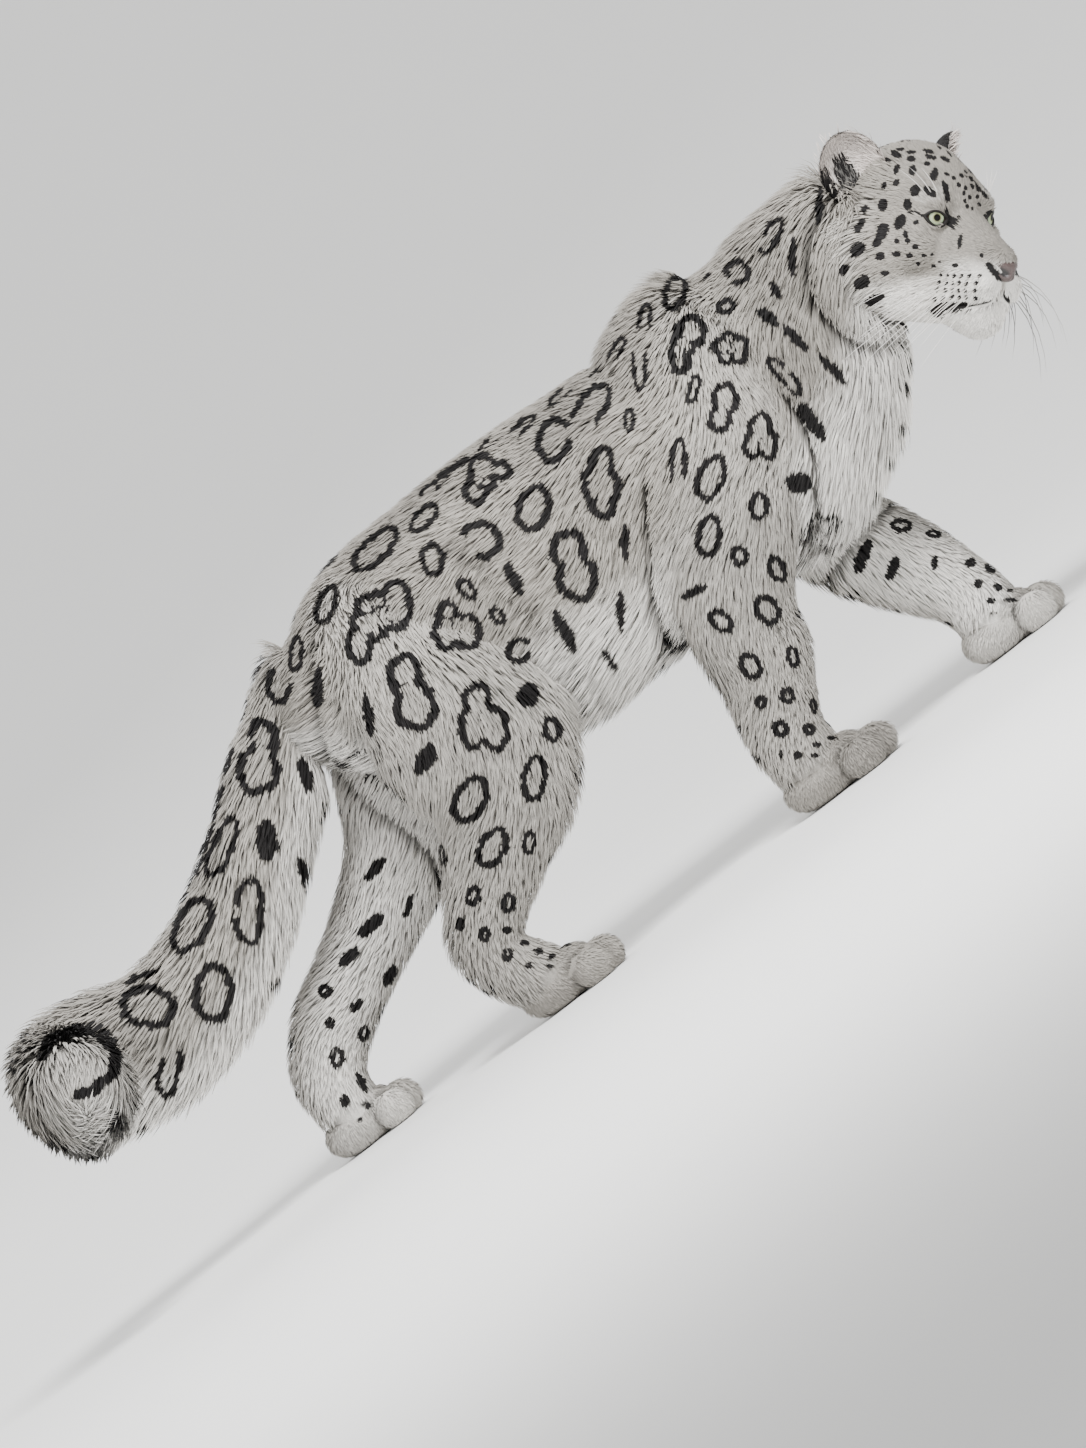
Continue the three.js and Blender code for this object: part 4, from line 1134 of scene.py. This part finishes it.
def locksMesh(name, spines, widths, thicks, ups, levels, shares, colours, bands, shade, bakeAt):
    # spines: one row of places for each lock, at the levels from root to tip
    rows, offsets, faces = lockShape(levels)
    count, verts = len(spines), len(rows)
    along = unit(np.gradient(spines, axis=1))
    across = unit(np.cross(ups[:, None], along))
    above = np.cross(along, across)
    share = np.array(shares)[rows]
    x = (offsets[:, 0] * share)[None] * widths[:, None] / 2
    y = (offsets[:, 1] * share)[None] * thicks[:, None] / 2
    points = spines[:, rows] + across[:, rows] * x[..., None] + above[:, rows] * y[..., None]

    loops = np.concatenate([np.array(f) for f in faces])
    sizes = np.array([len(f) for f in faces])
    starts = np.concatenate([[0], np.cumsum(sizes)[:-1]])
    made = bpy.data.meshes.new(name)
    made.vertices.add(count * verts)
    made.vertices.foreach_set("co", points.astype(np.float32).ravel())
    made.loops.add(count * len(loops))
    corner = (np.arange(count)[:, None] * verts + loops[None]).ravel()
    made.loops.foreach_set("vertex_index", corner.astype(np.int32))
    made.polygons.add(count * len(faces))
    first = (np.arange(count)[:, None] * len(loops) + starts[None]).ravel()
    made.polygons.foreach_set("loop_start", first.astype(np.int32))
    made.update(calc_edges=True)
    made.shade_smooth()

    hair = np.stack([(offsets[:, 0] * 0.5 + 0.5) * np.ones(verts), np.array(levels)[rows]], 1)
    patch = (hair - 0.5) * 0.003
    everyHair = np.tile(hair, (count, 1))
    everyHair[:, 0] += np.repeat(np.arange(count) % 97, verts)
    everyPatch = np.repeat(bakeAt, verts, 0) + np.tile(patch, (count, 1))
    for layerName, values in (("OFBake", everyPatch), ("hair", everyHair)):
        layer = made.uv_layers.new(name=layerName)
        layer.uv.foreach_set("vector", values[corner].astype(np.float32).ravel())
    colourOn(made, *[np.repeat(c, verts) for c in colours])
    layer = made.attributes.new("bands", "FLOAT_COLOR", "POINT")
    layer.data.foreach_set("color", np.repeat(bands, verts, 0).ravel())
    layer = made.attributes.new("shade", "FLOAT", "POINT")
    layer.data.foreach_set("value", shade[:, rows].ravel())
    own = unit(arrayOf(made.vertex_normals, "vector", 3))
    soft = coatSizes["softness"]
    made.normals_split_custom_set_from_vertices(unit(np.repeat(ups, verts, 0) * soft + own * (1 - soft)))
    return made


def rootsOn(choice, count):
    # evenly spread places on the chosen triangles of the skin
    chosen = np.flatnonzero(choice)
    reach = np.cumsum(areas[chosen])
    picks = (np.arange(count) + chance.random(count)) / count * reach[-1]
    triangle = chosen[np.searchsorted(reach, picks).clip(0, len(chosen) - 1)]
    a, b = chance.random(count), chance.random(count)
    flip = a + b > 1
    a, b = np.where(flip, 1 - a, a), np.where(flip, 1 - b, b)
    share = np.stack([1 - a - b, a, b], 1)[..., None]
    at = (skinPoints[skinTriangles[triangle]] * share).sum(1)
    normal = unit((skinNormals[skinTriangles[triangle]] * share).sum(1))
    return at, normal, triangle, reach[-1]


atlas = {"cells": (4, 2), "margin": 0.01}


def bakePlaces(about):
    # each part of the skin unrolled into a cell of its own: along it and round it
    region, local = about["region"], about["local"] - headHeart
    spots = np.zeros((len(region), 2))
    along = [found[0] for found in about["found"]] + [np.arccos(np.clip(unit(local)[:, 0], -1, 1)) / math.pi]
    around = [found[1] for found in about["found"]] + [np.arctan2(local[:, 1], local[:, 2])]
    wide, tall = 1 / atlas["cells"][0], 1 / atlas["cells"][1]
    for index, (way, angle) in enumerate(zip(along, around)):
        mine = region == index
        inCell = np.stack([way[mine], angle[mine] / (2 * math.pi) + 0.5], 1)
        inCell = inCell * (1 - 2 * atlas["margin"]) + atlas["margin"]
        corner = [index % atlas["cells"][0] * wide, index // atlas["cells"][0] * tall]
        spots[mine] = corner + inCell * [wide, tall]
    return spots


coatSizes = {
    "long": 1.0, "base": 7 * mm, "pawBase": 0.7, "tip": 14 * mm, "rise": 0.66, "curl": 2.2, "wide": 0.039,
    "least": 1.6 * mm, "flat": 0.35, "wander": 0.25, "scatter": 0.1, "sink": 1.5 * mm, "softness": 0.62,
    "samples": 14, "paw": 5 * mm, "round": 160 * mm, "reach": 9 * mm, "ground": 1.2 * mm,
}
earCoat = {"fringeFrom": -14 * mm, "inside": 7 * mm, "outside": 3 * mm, "fringe": 10 * mm, "stray": 0.14}
coatPieces = {}


def combed(normal, kinds, about):
    # the lie and depth of the coat, with the short fur of paws and ears and the fringe inside the ears
    lie, depth = about["lie"].copy(), about["depth"].copy()
    cupped = np.zeros(len(kinds), bool)
    for side in sides:
        mine = (kinds == "ear") & (np.sign(about["local"][:, 1]) == side)
        inward = normal @ headAxes.T @ earAxes(side).T[:, 0] > 0.05
        fringe = mine & inward & (side * toEar(side, about["local"])[:, 1] < earCoat["fringeFrom"])
        lie[mine] = earAxes(side)[2] @ headAxes
        lie[fringe] = np.array([0.4, 0.9 * side, 0.5]) @ earAxes(side) @ headAxes
        lie[mine] += earCoat["stray"] * chance.normal(size=(mine.sum(), 3))
        depth[mine] = np.where(inward[mine], earCoat["inside"], earCoat["outside"])
        depth[fringe] = earCoat["fringe"]
        cupped |= mine & inward
    onPaw = kinds == "paw"
    depth[onPaw] = np.minimum(depth[onPaw], coatSizes["paw"])
    return lie, depth, cupped


def shadeAlong(at, way, under, onPaw, levels):
    # how dark each lock is at its levels, in the shade of an upper coat or between the toes
    shades = []
    for level in levels:
        points = at + way * level
        shade = under * paintedShadeUnderCoat(overlap(points))
        if onPaw.any():
            # painted shade in the creases between the toes
            shade = np.maximum(shade, 0.85 * np.maximum.reduce([pawCreases(paw, points) for paw in paws]))
        shades.append(shade)
    return np.stack(shades, 1)


def growCoat(name, choice, count, levels=(0, 0.4, 0.75, 1), shares=(0.6, 1, 0.75, 0)):
    count = int(count * coat["full"])
    at, normal, triangle, area = rootsOn(choice, count)
    about, kinds = survey(at), triangleKinds[triangle]
    onPaw, onEar = kinds == "paw", kinds == "ear"
    lie, depth, cupped = combed(normal, kinds, about)
    swirl = coatSizes["wander"] * ripple(at, 0.02, 5) + chance.normal(0, coatSizes["scatter"], count)
    aside = np.cross(normal, lie)
    lie = lie * np.cos(swirl)[:, None] + aside * np.sin(swirl)[:, None]
    lie = unit(lie - normal * dots(lie, normal)[:, None])
    base = np.where(onPaw, coatSizes["pawBase"], 1) * coatSizes["base"]
    tip = eased(about["found"][1][0], 0.78, 0.92) * (about["region"] == 1)
    long = base + coatSizes["long"] * depth + coatSizes["tip"] * tip
    long = long * chance.uniform(0.8, 1.2, count)
    calm = tip * (0.6 + 0.3 * eased(-normal[:, 1], 0.2, 0.7))
    rise = depth * coatSizes["rise"] * chance.uniform(0.7, 1.0, count) * (1 - calm)
    rise = rise * np.where(onEar & ~cupped, 0.45, 1)
    # the upper coat ends in a ragged edge where it meets the coat under it
    start, end = overlap(at), overlap(at + lie * long[:, None])
    facing = normal @ towards < -0.15
    crosses = facing & (start > 0) & (end < 0) & (start < 80 * mm)
    share = start / np.maximum(start - end, 1e-6) + chance.uniform(0.0, 0.25, count)
    long = np.where(crosses, long * share.clip(0.3, 1), long)
    # locks bend down on the underside, and with the round form on the tail's end
    hang = 0.12 * long * eased(-normal[:, 2], 0.2, 0.9)
    bend = 0.9 * tip * long**2 / coatSizes["round"]
    spines = []
    for level in levels:
        lift = rise * (1 - (1 - level) ** coatSizes["curl"]) - coatSizes["sink"] - bend * level**2
        point = at + lie * (long * level)[:, None] + normal * lift[:, None]
        point[:, 2] -= hang * level**2
        spines.append(point)
    spines = np.stack(spines, 1)
    spines[..., 1] = np.maximum(spines[..., 1], cadBox[0][1] - coatSizes["reach"])
    spines[..., 2] = np.maximum(spines[..., 2], coatSizes["ground"])
    width = (coatSizes["least"] + coatSizes["wide"] * long) * chance.uniform(0.8, 1.2, count)
    width = width * np.where(onEar, 0.6, 1)
    shade = shadeAlong(at, lie * long[:, None], facing & (start < 0), onPaw, levels)
    extra, pale, warm = tinted(at, normal, kinds, about)
    steps = np.linspace(0, 1, coatSizes["samples"]) + chance.normal(0, 0.02, (count, 1))
    lifted = rise[:, None] * (1 - (1 - steps.clip(0, 1)) ** coatSizes["curl"]) - bend[:, None] * steps**2
    samples = at[:, None] + lie[:, None] * (long[:, None] * steps)[..., None]
    samples = samples + normal[:, None] * lifted[..., None]
    mark, within = darkness(samples, normal)
    mark = np.maximum(mark * ~onEar[:, None], extra[:, None])
    tone = 0.5 + 0.2 * ripple(at, 0.03, 3) + chance.normal(0, 0.14, count)
    colours = [within.mean(1), pale, np.clip(tone, 0, 1), warm]
    coatPieces[name] = locksMesh(
        name, spines, width, width * coatSizes["flat"], normal, levels, shares, colours, darkBands(mark),
        shade, bakePlaces(about),
    )
    print(name, count, "locks on", round(area, 3), "square metres")


region = middleAbout["region"]
growable = ~buried & ~bare
t = np.stack([f[0] for f in middleAbout["found"]], 1)
onTrunk = growable & (region == 0)
faceFront = (region == 6) & (triangleKinds == "head") & (middleLocal[:, 0] > 12 * mm)
isPaw = triangleKinds == "paw"
shortLock = {"levels": (0, 0.55, 1), "shares": (0.7, 1, 0)}
growCoat("coatRump", onTrunk & (t[:, 0] <= 0.36), 13000, **shortLock)
growCoat("coatFlanks", onTrunk & (t[:, 0] > 0.36) & (t[:, 0] <= 0.62), 18500, **shortLock)
growCoat("coatShoulders", onTrunk & (t[:, 0] > 0.62), 17500, **shortLock)
growCoat("coatTail", growable & (region == 1), 12000)
growCoat("coatForelegs", growable & ((region == 2) | (region == 3)) & ~isPaw, 18500, **shortLock)
growCoat("coatHindlegs", growable & ((region == 4) | (region == 5)) & ~isPaw, 19500, **shortLock)
growCoat("coatHead", growable & (region == 6) & ~faceFront & ~isPaw, 12000)
growCoat("coatFace", growable & faceFront, 19000, **shortLock)
growCoat("coatPaws", growable & isPaw, 15000, **shortLock)


# Shader building: a wire is a node's output, and arithmetic on it adds Math nodes
class Wire:
    def __init__(self, finish, socket):
        self.finish, self.socket = finish, socket

    def reckoned(self, operation, first, second=None):
        inputs = {0: first} if second is None else {0: first, 1: second}
        return self.finish.node("ShaderNodeMath", {"operation": operation}, inputs)

    def __add__(self, other):
        return self.reckoned("ADD", self, other)

    def __radd__(self, other):
        return self.reckoned("ADD", other, self)

    def __sub__(self, other):
        return self.reckoned("SUBTRACT", self, other)

    def __rsub__(self, other):
        return self.reckoned("SUBTRACT", other, self)

    def __mul__(self, other):
        return self.reckoned("MULTIPLY", self, other)

    def __rmul__(self, other):
        return self.reckoned("MULTIPLY", other, self)

    def __truediv__(self, other):
        return self.reckoned("DIVIDE", self, other)

    def lesser(self, other):
        return self.reckoned("MINIMUM", self, other)

    def greater(self, other):
        return self.reckoned("MAXIMUM", self, other)

    def clamped(self):
        return self.lesser(1).greater(0)


class Finish:
    def __init__(self, name, **fixed):
        self.material = bpy.data.materials.new(name)
        self.material.use_nodes = True
        self.tree = self.material.node_tree
        self.shader = self.tree.nodes["Principled BSDF"]
        for socket, value in fixed.items():
            self.shader.inputs[socket.replace("_", " ")].default_value = value

    def node(self, kind, settings=None, inputs=None, output=0):
        made = self.tree.nodes.new(kind)
        for setting, value in (settings or {}).items():
            if setting == "stops":
                ramp = made.color_ramp.elements
                for stop, (position, tint) in enumerate(value):
                    element = ramp[stop] if stop < 2 else ramp.new(position)
                    element.position, element.color = position, tint
            else:
                setattr(made, setting, value)
        for socket, value in (inputs or {}).items():
            if isinstance(value, Wire):
                self.tree.links.new(value.socket, made.inputs[socket])
            else:
                made.inputs[socket].default_value = value
        return Wire(self, made.outputs[output])

    def mixed(self, share, first, second):
        return self.node("ShaderNodeMix", {"data_type": "RGBA"}, {0: share, 6: first, 7: second}, 2)

    def scaled(self, tint, amount):
        start = tint if isinstance(tint, Wire) else tint[:3]
        return self.node("ShaderNodeVectorMath", {"operation": "SCALE"}, {0: start, "Scale": amount})

    def shown(self, **wires):
        for socket, wire in wires.items():
            self.tree.links.new(wire.socket, self.shader.inputs[socket.replace("_", " ")])
        return self.material

    def bumped(self, height, strength, distance):
        return self.node("ShaderNodeBump", {}, {"Strength": strength, "Distance": distance, "Height": height})


def colour(r, g, b):
    return (r, g, b, 1)


furColours = {
    "back": colour(0.215, 0.196, 0.168), "belly": colour(0.80, 0.775, 0.73),
    "mark": colour(0.012, 0.011, 0.011), "bare": colour(0.55, 0.38, 0.33),
}


def held(finish, name):
    # the four numbers of an attribute
    whole = finish.node("ShaderNodeAttribute", {"attribute_name": name})
    parts = [finish.node("ShaderNodeSeparateColor", {}, {"Color": whole}, channel) for channel in range(3)]
    return [*parts, finish.node("ShaderNodeAttribute", {"attribute_name": name}, output=3)]


def furTint(finish, mark, pale, tone, warm):
    base = finish.mixed(pale, furColours["back"], furColours["belly"])
    base = finish.mixed(warm, base, furColours["bare"])
    base = finish.scaled(base, 0.7 + tone * 0.6)
    return finish.mixed(mark, base, finish.scaled(furColours["mark"], 0.5 + tone))


def banded(along, bands):
    # 1 within either dark stretch of a lock, with soft ends
    begin, end, later, last = bands
    first = ((along - begin) * 16 + 0.5).lesser((end - along) * 16 + 0.5)
    second = ((along - later) * 16 + 0.5).lesser((last - along) * 16 + 0.5)
    return first.greater(second).clamped()


def lockFinish():
    fur = Finish("fur", Roughness=0.62, Specular_IOR_Level=0.14)
    hair = fur.node("ShaderNodeUVMap", {"uv_map": "hair"})
    across = fur.node("ShaderNodeSeparateXYZ", {}, {0: hair}, 0)
    along = fur.node("ShaderNodeSeparateXYZ", {}, {0: hair}, 1)
    streaks = fur.node("ShaderNodeCombineXYZ", {}, {0: across * 9, 1: along * 1.2, 2: 0.0})
    strand = fur.node("ShaderNodeTexNoise", {}, {"Vector": streaks, "Scale": 1.0, "Detail": 2.0})
    # painted shade: each lock darkens towards its root, and more where its "shade" attribute holds painted
    # shade
    root = fur.node("ShaderNodeAttribute", {"attribute_name": "shade"}, output=2)
    shade = (0.74 + along * 0.3) * (0.5 + strand) * (1 - root)
    within, pale, tone, warm = held(fur, "coat")
    mark = banded(along, held(fur, "bands")).greater(within * 0.14)
    return fur.shown(
        Base_Color=fur.scaled(furTint(fur, mark, pale, tone, warm), shade),
        Normal=fur.bumped(strand, 0.5, 0.0006),
        Roughness=0.52 + strand * 0.22,
    )


def skinFinish():
    under = Finish("underfur", Roughness=0.8, Specular_IOR_Level=0.2)
    where = under.node("ShaderNodeTexCoord", output=3)
    fine = under.node("ShaderNodeTexNoise", {}, {"Vector": where, "Scale": 420.0, "Detail": 4.0})
    # painted shade from the "shade" attribute darkens the skin under the edge of an upper coat
    root = under.node("ShaderNodeAttribute", {"attribute_name": "shade"}, output=2)
    return under.shown(
        Base_Color=under.scaled(furTint(under, *held(under, "coat")), (0.6 + fine * 0.5) * (1 - root)),
        Normal=under.bumped(fine, 0.6, 0.001),
        Roughness=0.7 + fine * 0.2,
    )


furMaterial, skinMaterial = lockFinish(), skinFinish()
skin = pieceFrom(skinMesh, "skin", skinMaterial)
for name, made in coatPieces.items():
    pieceFrom(made, name, furMaterial)
fleshNodes = [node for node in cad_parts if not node.startswith(("eye_", "nose"))]
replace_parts(skin, *fleshNodes)
print("coat finished")

# Eyes: a wet ball with a pale iris and a round pupil
eyeBuild = {"around": 72, "rings": 48}


def eyeFinish():
    wet = Finish("eye", Roughness=0.3, Specular_IOR_Level=0.0, Coat_Weight=0.22, Coat_Roughness=0.02)
    gaze = wet.node("ShaderNodeAttribute", {"attribute_name": "gaze"}, output=1)
    bend = wet.node("ShaderNodeSeparateXYZ", {}, {0: gaze}, 2)
    rays = wet.node("ShaderNodeTexNoise", {}, {"Vector": gaze, "Scale": 9.0, "Detail": 3.0})
    stops = [
        (0.0, colour(0.001, 0.001, 0.001)), (0.22, colour(0.001, 0.001, 0.001)),
        (0.255, colour(0.13, 0.14, 0.07)), (0.36, colour(0.36, 0.4, 0.24)), (0.5, colour(0.28, 0.35, 0.24)),
        (0.57, colour(0.03, 0.035, 0.025)), (0.63, colour(0.05, 0.03, 0.025)), (1.0, colour(0.1, 0.07, 0.06)),
    ]
    iris = wet.node("ShaderNodeValToRGB", {"stops": stops}, {0: bend + (rays - 0.5) * 0.03})
    return wet.shown(Base_Color=wet.scaled(iris, 0.6 + rays * 0.8))


eyeMaterial = eyeFinish()
for side, node in ((-1, "eye_right"), (1, "eye_left")):
    bm = bmesh.new()
    bmesh.ops.create_uvsphere(bm, u_segments=eyeBuild["around"], v_segments=eyeBuild["rings"], radius=1)
    ball = places(bm)
    gaze, left, up = eyeAxes(side)
    local = (ball[:, 2:] * gaze + ball[:, :1] * left + ball[:, 1:2] * up) * eye["radius"] * mm
    local = local + eyeLocal(side)
    place(bm, fromHead(local))
    made = meshFrom(bm, node)
    bend = np.arccos(np.clip(ball[:, 2], -1, 1))
    rays = ball[:, :2] / np.maximum(np.hypot(ball[:, 0], ball[:, 1]), 1e-4)[:, None]
    layer = made.attributes.new("gaze", "FLOAT_VECTOR", "POINT")
    layer.data.foreach_set("vector", np.column_stack([rays, bend]).ravel())
    piece = pieceFrom(made, "eyeball_" + node.split("_")[1], eyeMaterial)
    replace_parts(piece, node)

# Lids: a soft dark ring round each opening, from the ball out into the face
lidRings = [(0.96, 0.1), (0.96, 1.6), (1.01, 2.9), (1.1, 3.6), (1.22, 3.4), (1.42, 1.4), (1.4, -2), (1.1, -1)]


def lidFinish():
    skinTone = Finish("lid", Roughness=0.45, Specular_IOR_Level=0.2)
    where = skinTone.node("ShaderNodeTexCoord", output=3)
    grain = skinTone.node("ShaderNodeTexNoise", {}, {"Vector": where, "Scale": 900.0, "Detail": 3.0})
    tint = skinTone.mixed(grain, colour(0.004, 0.004, 0.004), colour(0.018, 0.015, 0.014))
    normal = skinTone.bumped(grain, 0.4, 0.0004)
    return skinTone.shown(Base_Color=tint, Normal=normal, Roughness=0.35 + grain * 0.25)


bm = bmesh.new()
for side in sides:
    rings = []
    for grow, proud in lidRings:
        circle = bmesh.ops.create_circle(bm, segments=len(outline), radius=0.01)["verts"]
        radius = np.full(len(outline), eye["radius"] + proud)
        for vert, point in zip(circle, fromHead(onEye(side, outline * grow, radius))):
            vert.co = point
        rings.append(list({edge for vert in circle for edge in vert.link_edges}))
    for ring, following in zip(rings, rings[1:] + rings[:1]):
        bmesh.ops.bridge_loops(bm, edges=ring + following)
pieceFrom(meshFrom(bm, "lids"), "lids", lidFinish())

# Nose: a broad damp pad with comma-shaped nostrils and a cleft
noseBuild = {"deep": 8 * mm, "radius": 4.8 * mm, "cleft": 1.6 * mm}


def noseFinish():
    pad = Finish("nosePad", Roughness=0.4, Coat_Weight=0.25, Coat_Roughness=0.3)
    where = pad.node("ShaderNodeTexCoord", output=3)
    pebbles = pad.node("ShaderNodeTexVoronoi", {}, {"Vector": where, "Scale": 620.0})
    blotch = pad.node("ShaderNodeTexNoise", {}, {"Vector": where, "Scale": 90.0, "Detail": 3.0})
    hollow = pad.node("ShaderNodeAttribute", {"attribute_name": "hollow"}, output=2)
    tint = pad.mixed(blotch, colour(0.045, 0.03, 0.028), colour(0.085, 0.054, 0.05))
    # painted shade: the nostrils and the cleft of the nose are darkened almost to black
    tint = pad.mixed(hollow, tint, colour(0.006, 0.004, 0.004))
    tint = pad.scaled(tint, 1.1 - pebbles * 0.5)
    return pad.shown(Base_Color=tint, Normal=pad.bumped(pebbles, 0.5, 0.0006), Roughness=0.3 + pebbles * 0.3)


bm = bmesh.new()
bmesh.ops.create_icosphere(bm, subdivisions=6, radius=1)
ball = places(bm)
deep, wide, tall = nose["half"]
spread = 0.78 + 0.3 * ball[:, 2]
x = ball[:, 0] * deep - ball[:, 2] * 2.5
local = np.stack([x, ball[:, 1] * wide * spread, ball[:, 2] * tall], 1) * mm
front = eased(ball[:, 0], 0.05, 0.4)
nostril = np.array([[0, 8, -4.5], [0, 11, -2.5], [0, 16, 0.5], [0, 23, 5]]) * mm
slot = alongCurve(nostril, np.linspace(0, 1, 20))
mirrored = np.abs(local[:, 1:2]) * [0, 1, 0] + local[:, 2:] * [0, 0, 1]
gap = np.linalg.norm(mirrored[:, None] - slot[None], axis=2).min(1)
hollow = np.exp(-((gap / noseBuild["radius"]) ** 2)) * front
cleft = np.exp(-((local[:, 1] / noseBuild["cleft"]) ** 2)) * eased(-local[:, 2], 0, 5 * mm) * front
local[:, 0] -= hollow * noseBuild["deep"] + cleft * 2 * mm
place(bm, fromHead(np.array(nose["at"]) * mm + local))
made = meshFrom(bm, "nosePad")
# painted shade of the nostrils and the cleft, for the pad's finish
layer = made.attributes.new("hollow", "FLOAT", "POINT")
layer.data.foreach_set("value", eased(np.maximum(hollow, 0.6 * cleft), 0.35, 0.8))
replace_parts(pieceFrom(made, "nosePad", noseFinish()), "nose")


# Whiskers in four rows on each pad, and a few over the eyes
def whiskerFinish():
    stiff = Finish("whisker", Roughness=0.35)
    hair = stiff.node("ShaderNodeUVMap", {"uv_map": "hair"})
    along = stiff.node("ShaderNodeSeparateXYZ", {}, {0: hair}, 1)
    tint = stiff.mixed(along, colour(0.6, 0.57, 0.52), colour(0.85, 0.83, 0.8))
    return stiff.shown(Base_Color=tint)


spines, ups = [], []
whiskerLevels = (0, 0.15, 0.35, 0.55, 0.78, 1)
for side in sides:
    for row in range(whiskerBuild["rows"]):
        for number in range(whiskerBuild["each"]):
            root = whiskerRoot(side, row, number)
            way = np.array([0.1 - 0.17 * number, side * 1.0, -0.3 + 0.12 * (1 - row)])
            way = unit(way + chance.normal(0, 0.05, 3))
            long = chance.uniform(*whiskerBuild["long"]) * mm
            bend = np.array([-0.28, -0.1 * side, -0.34]) * long
            spine = [root + way * long * s + bend * s * s for s in whiskerLevels]
            spines.append(fromHead(np.array(spine) - way * 2 * mm))
            ups.append(headUp)
    for number in range(3):
        root = drawnOnto(headField, eyeLocal(side), unit(np.array([[0.5, side * 0.1, 1.0]])), 0.06)[0]
        root = root + np.array([-4 * number, side * 5 * number, 0]) * mm
        way = unit(np.array([0.25 - 0.3 * number, side * 0.5, 1.0]))
        bend = np.array([-14, side * 8, 0]) * mm
        spine = [root - way * 4 * mm + way * s * 44 * mm + bend * s * s for s in whiskerLevels]
        spines.append(fromHead(np.array(spine)))
        ups.append(headForward)
spines = np.array(spines)
count = len(spines)
even, width = np.full(count, 0.5), np.full(count, whiskerBuild["wide"])
made = locksMesh(
    "whiskers", spines, width, width, np.array(ups), whiskerLevels, (1, 1, 0.9, 0.75, 0.5, 0), [even] * 4,
    np.zeros((count, 4)), np.zeros((count, len(whiskerLevels))),
    np.stack([np.linspace(0.1, 0.9, count), even], 1),
)
pieceFrom(made, "whiskers", whiskerFinish())
print("face finished")

# Floor, light and camera. The camera is rolled by the slope of the drawn cat.
floorBuild = {"half": 14.0, "rows": 80, "bend": 2.0, "radius": 5.0, "tint": colour(0.86, 0.86, 0.85)}


def floorFinish():
    pale = Finish("floor", Roughness=0.9)
    where = pale.node("ShaderNodeTexCoord", output=3)
    mottle = pale.node("ShaderNodeTexNoise", {}, {"Vector": where, "Scale": 3.0, "Detail": 2.0})
    return pale.shown(Base_Color=pale.scaled(floorBuild["tint"], 0.985 + mottle * 0.03))


bm = bmesh.new()
bmesh.ops.create_grid(bm, x_segments=1, y_segments=floorBuild["rows"], size=floorBuild["half"])
for vert in bm.verts:
    # behind the cat the floor sweeps up, so that no edge shows
    past = max(vert.co.y - floorBuild["bend"], 0) / floorBuild["radius"]
    if past > 0:
        bend = min(past, math.pi / 2)
        rest = (past - bend) * floorBuild["radius"]
        vert.co.y = floorBuild["bend"] + math.sin(bend) * floorBuild["radius"]
        vert.co.z = (1 - math.cos(bend)) * floorBuild["radius"] + rest
floor = bpy.data.objects.new("floor", meshFrom(bm, "floor"))
floor.data.materials.append(floorFinish())
bpy.context.scene.collection.objects.link(floor)


def lightAt(name, at, aim, size, power):
    lamp = bpy.data.lights.new(name, "AREA")
    lamp.size, lamp.energy = size, power
    lit = bpy.data.objects.new(name, lamp)
    lit.location = at
    lit.rotation_euler = (Vector(aim) - Vector(at)).to_track_quat("-Z", "Y").to_euler()
    bpy.context.scene.collection.objects.link(lit)


lightAt("key", (0.9, -2.2, 3.0), (0.1, 0, 0.35), 1.3, 260)
lightAt("fill", (-2.8, -2.6, 1.6), (0.0, 0, 0.35), 2.5, 40)
lightAt("back", (-1.2, 2.6, 2.2), (0, 0, 0.4), 2.0, 60)
world = bpy.data.worlds.new("studio")
world.use_nodes = True
world.node_tree.nodes["Background"].inputs[0].default_value = colour(0.9, 0.9, 0.9)
world.node_tree.nodes["Background"].inputs[1].default_value = 1.0
bpy.context.scene.world = world

view = {"frameTall": 1752, "far": 16.0}
lens = bpy.data.cameras.new("camera")
lens.sensor_width, lens.lens = 36, 36 * view["far"] / (view["frameTall"] * mm)
camera = bpy.data.objects.new("camera", lens)
turned = np.column_stack([right, upward, -towards])
eyePoint = Vector(drawnMiddle - towards * view["far"])
camera.matrix_world = Matrix.LocRotScale(eyePoint, Matrix(turned).to_quaternion(), None)
bpy.context.scene.collection.objects.link(camera)
bpy.context.scene.camera = camera
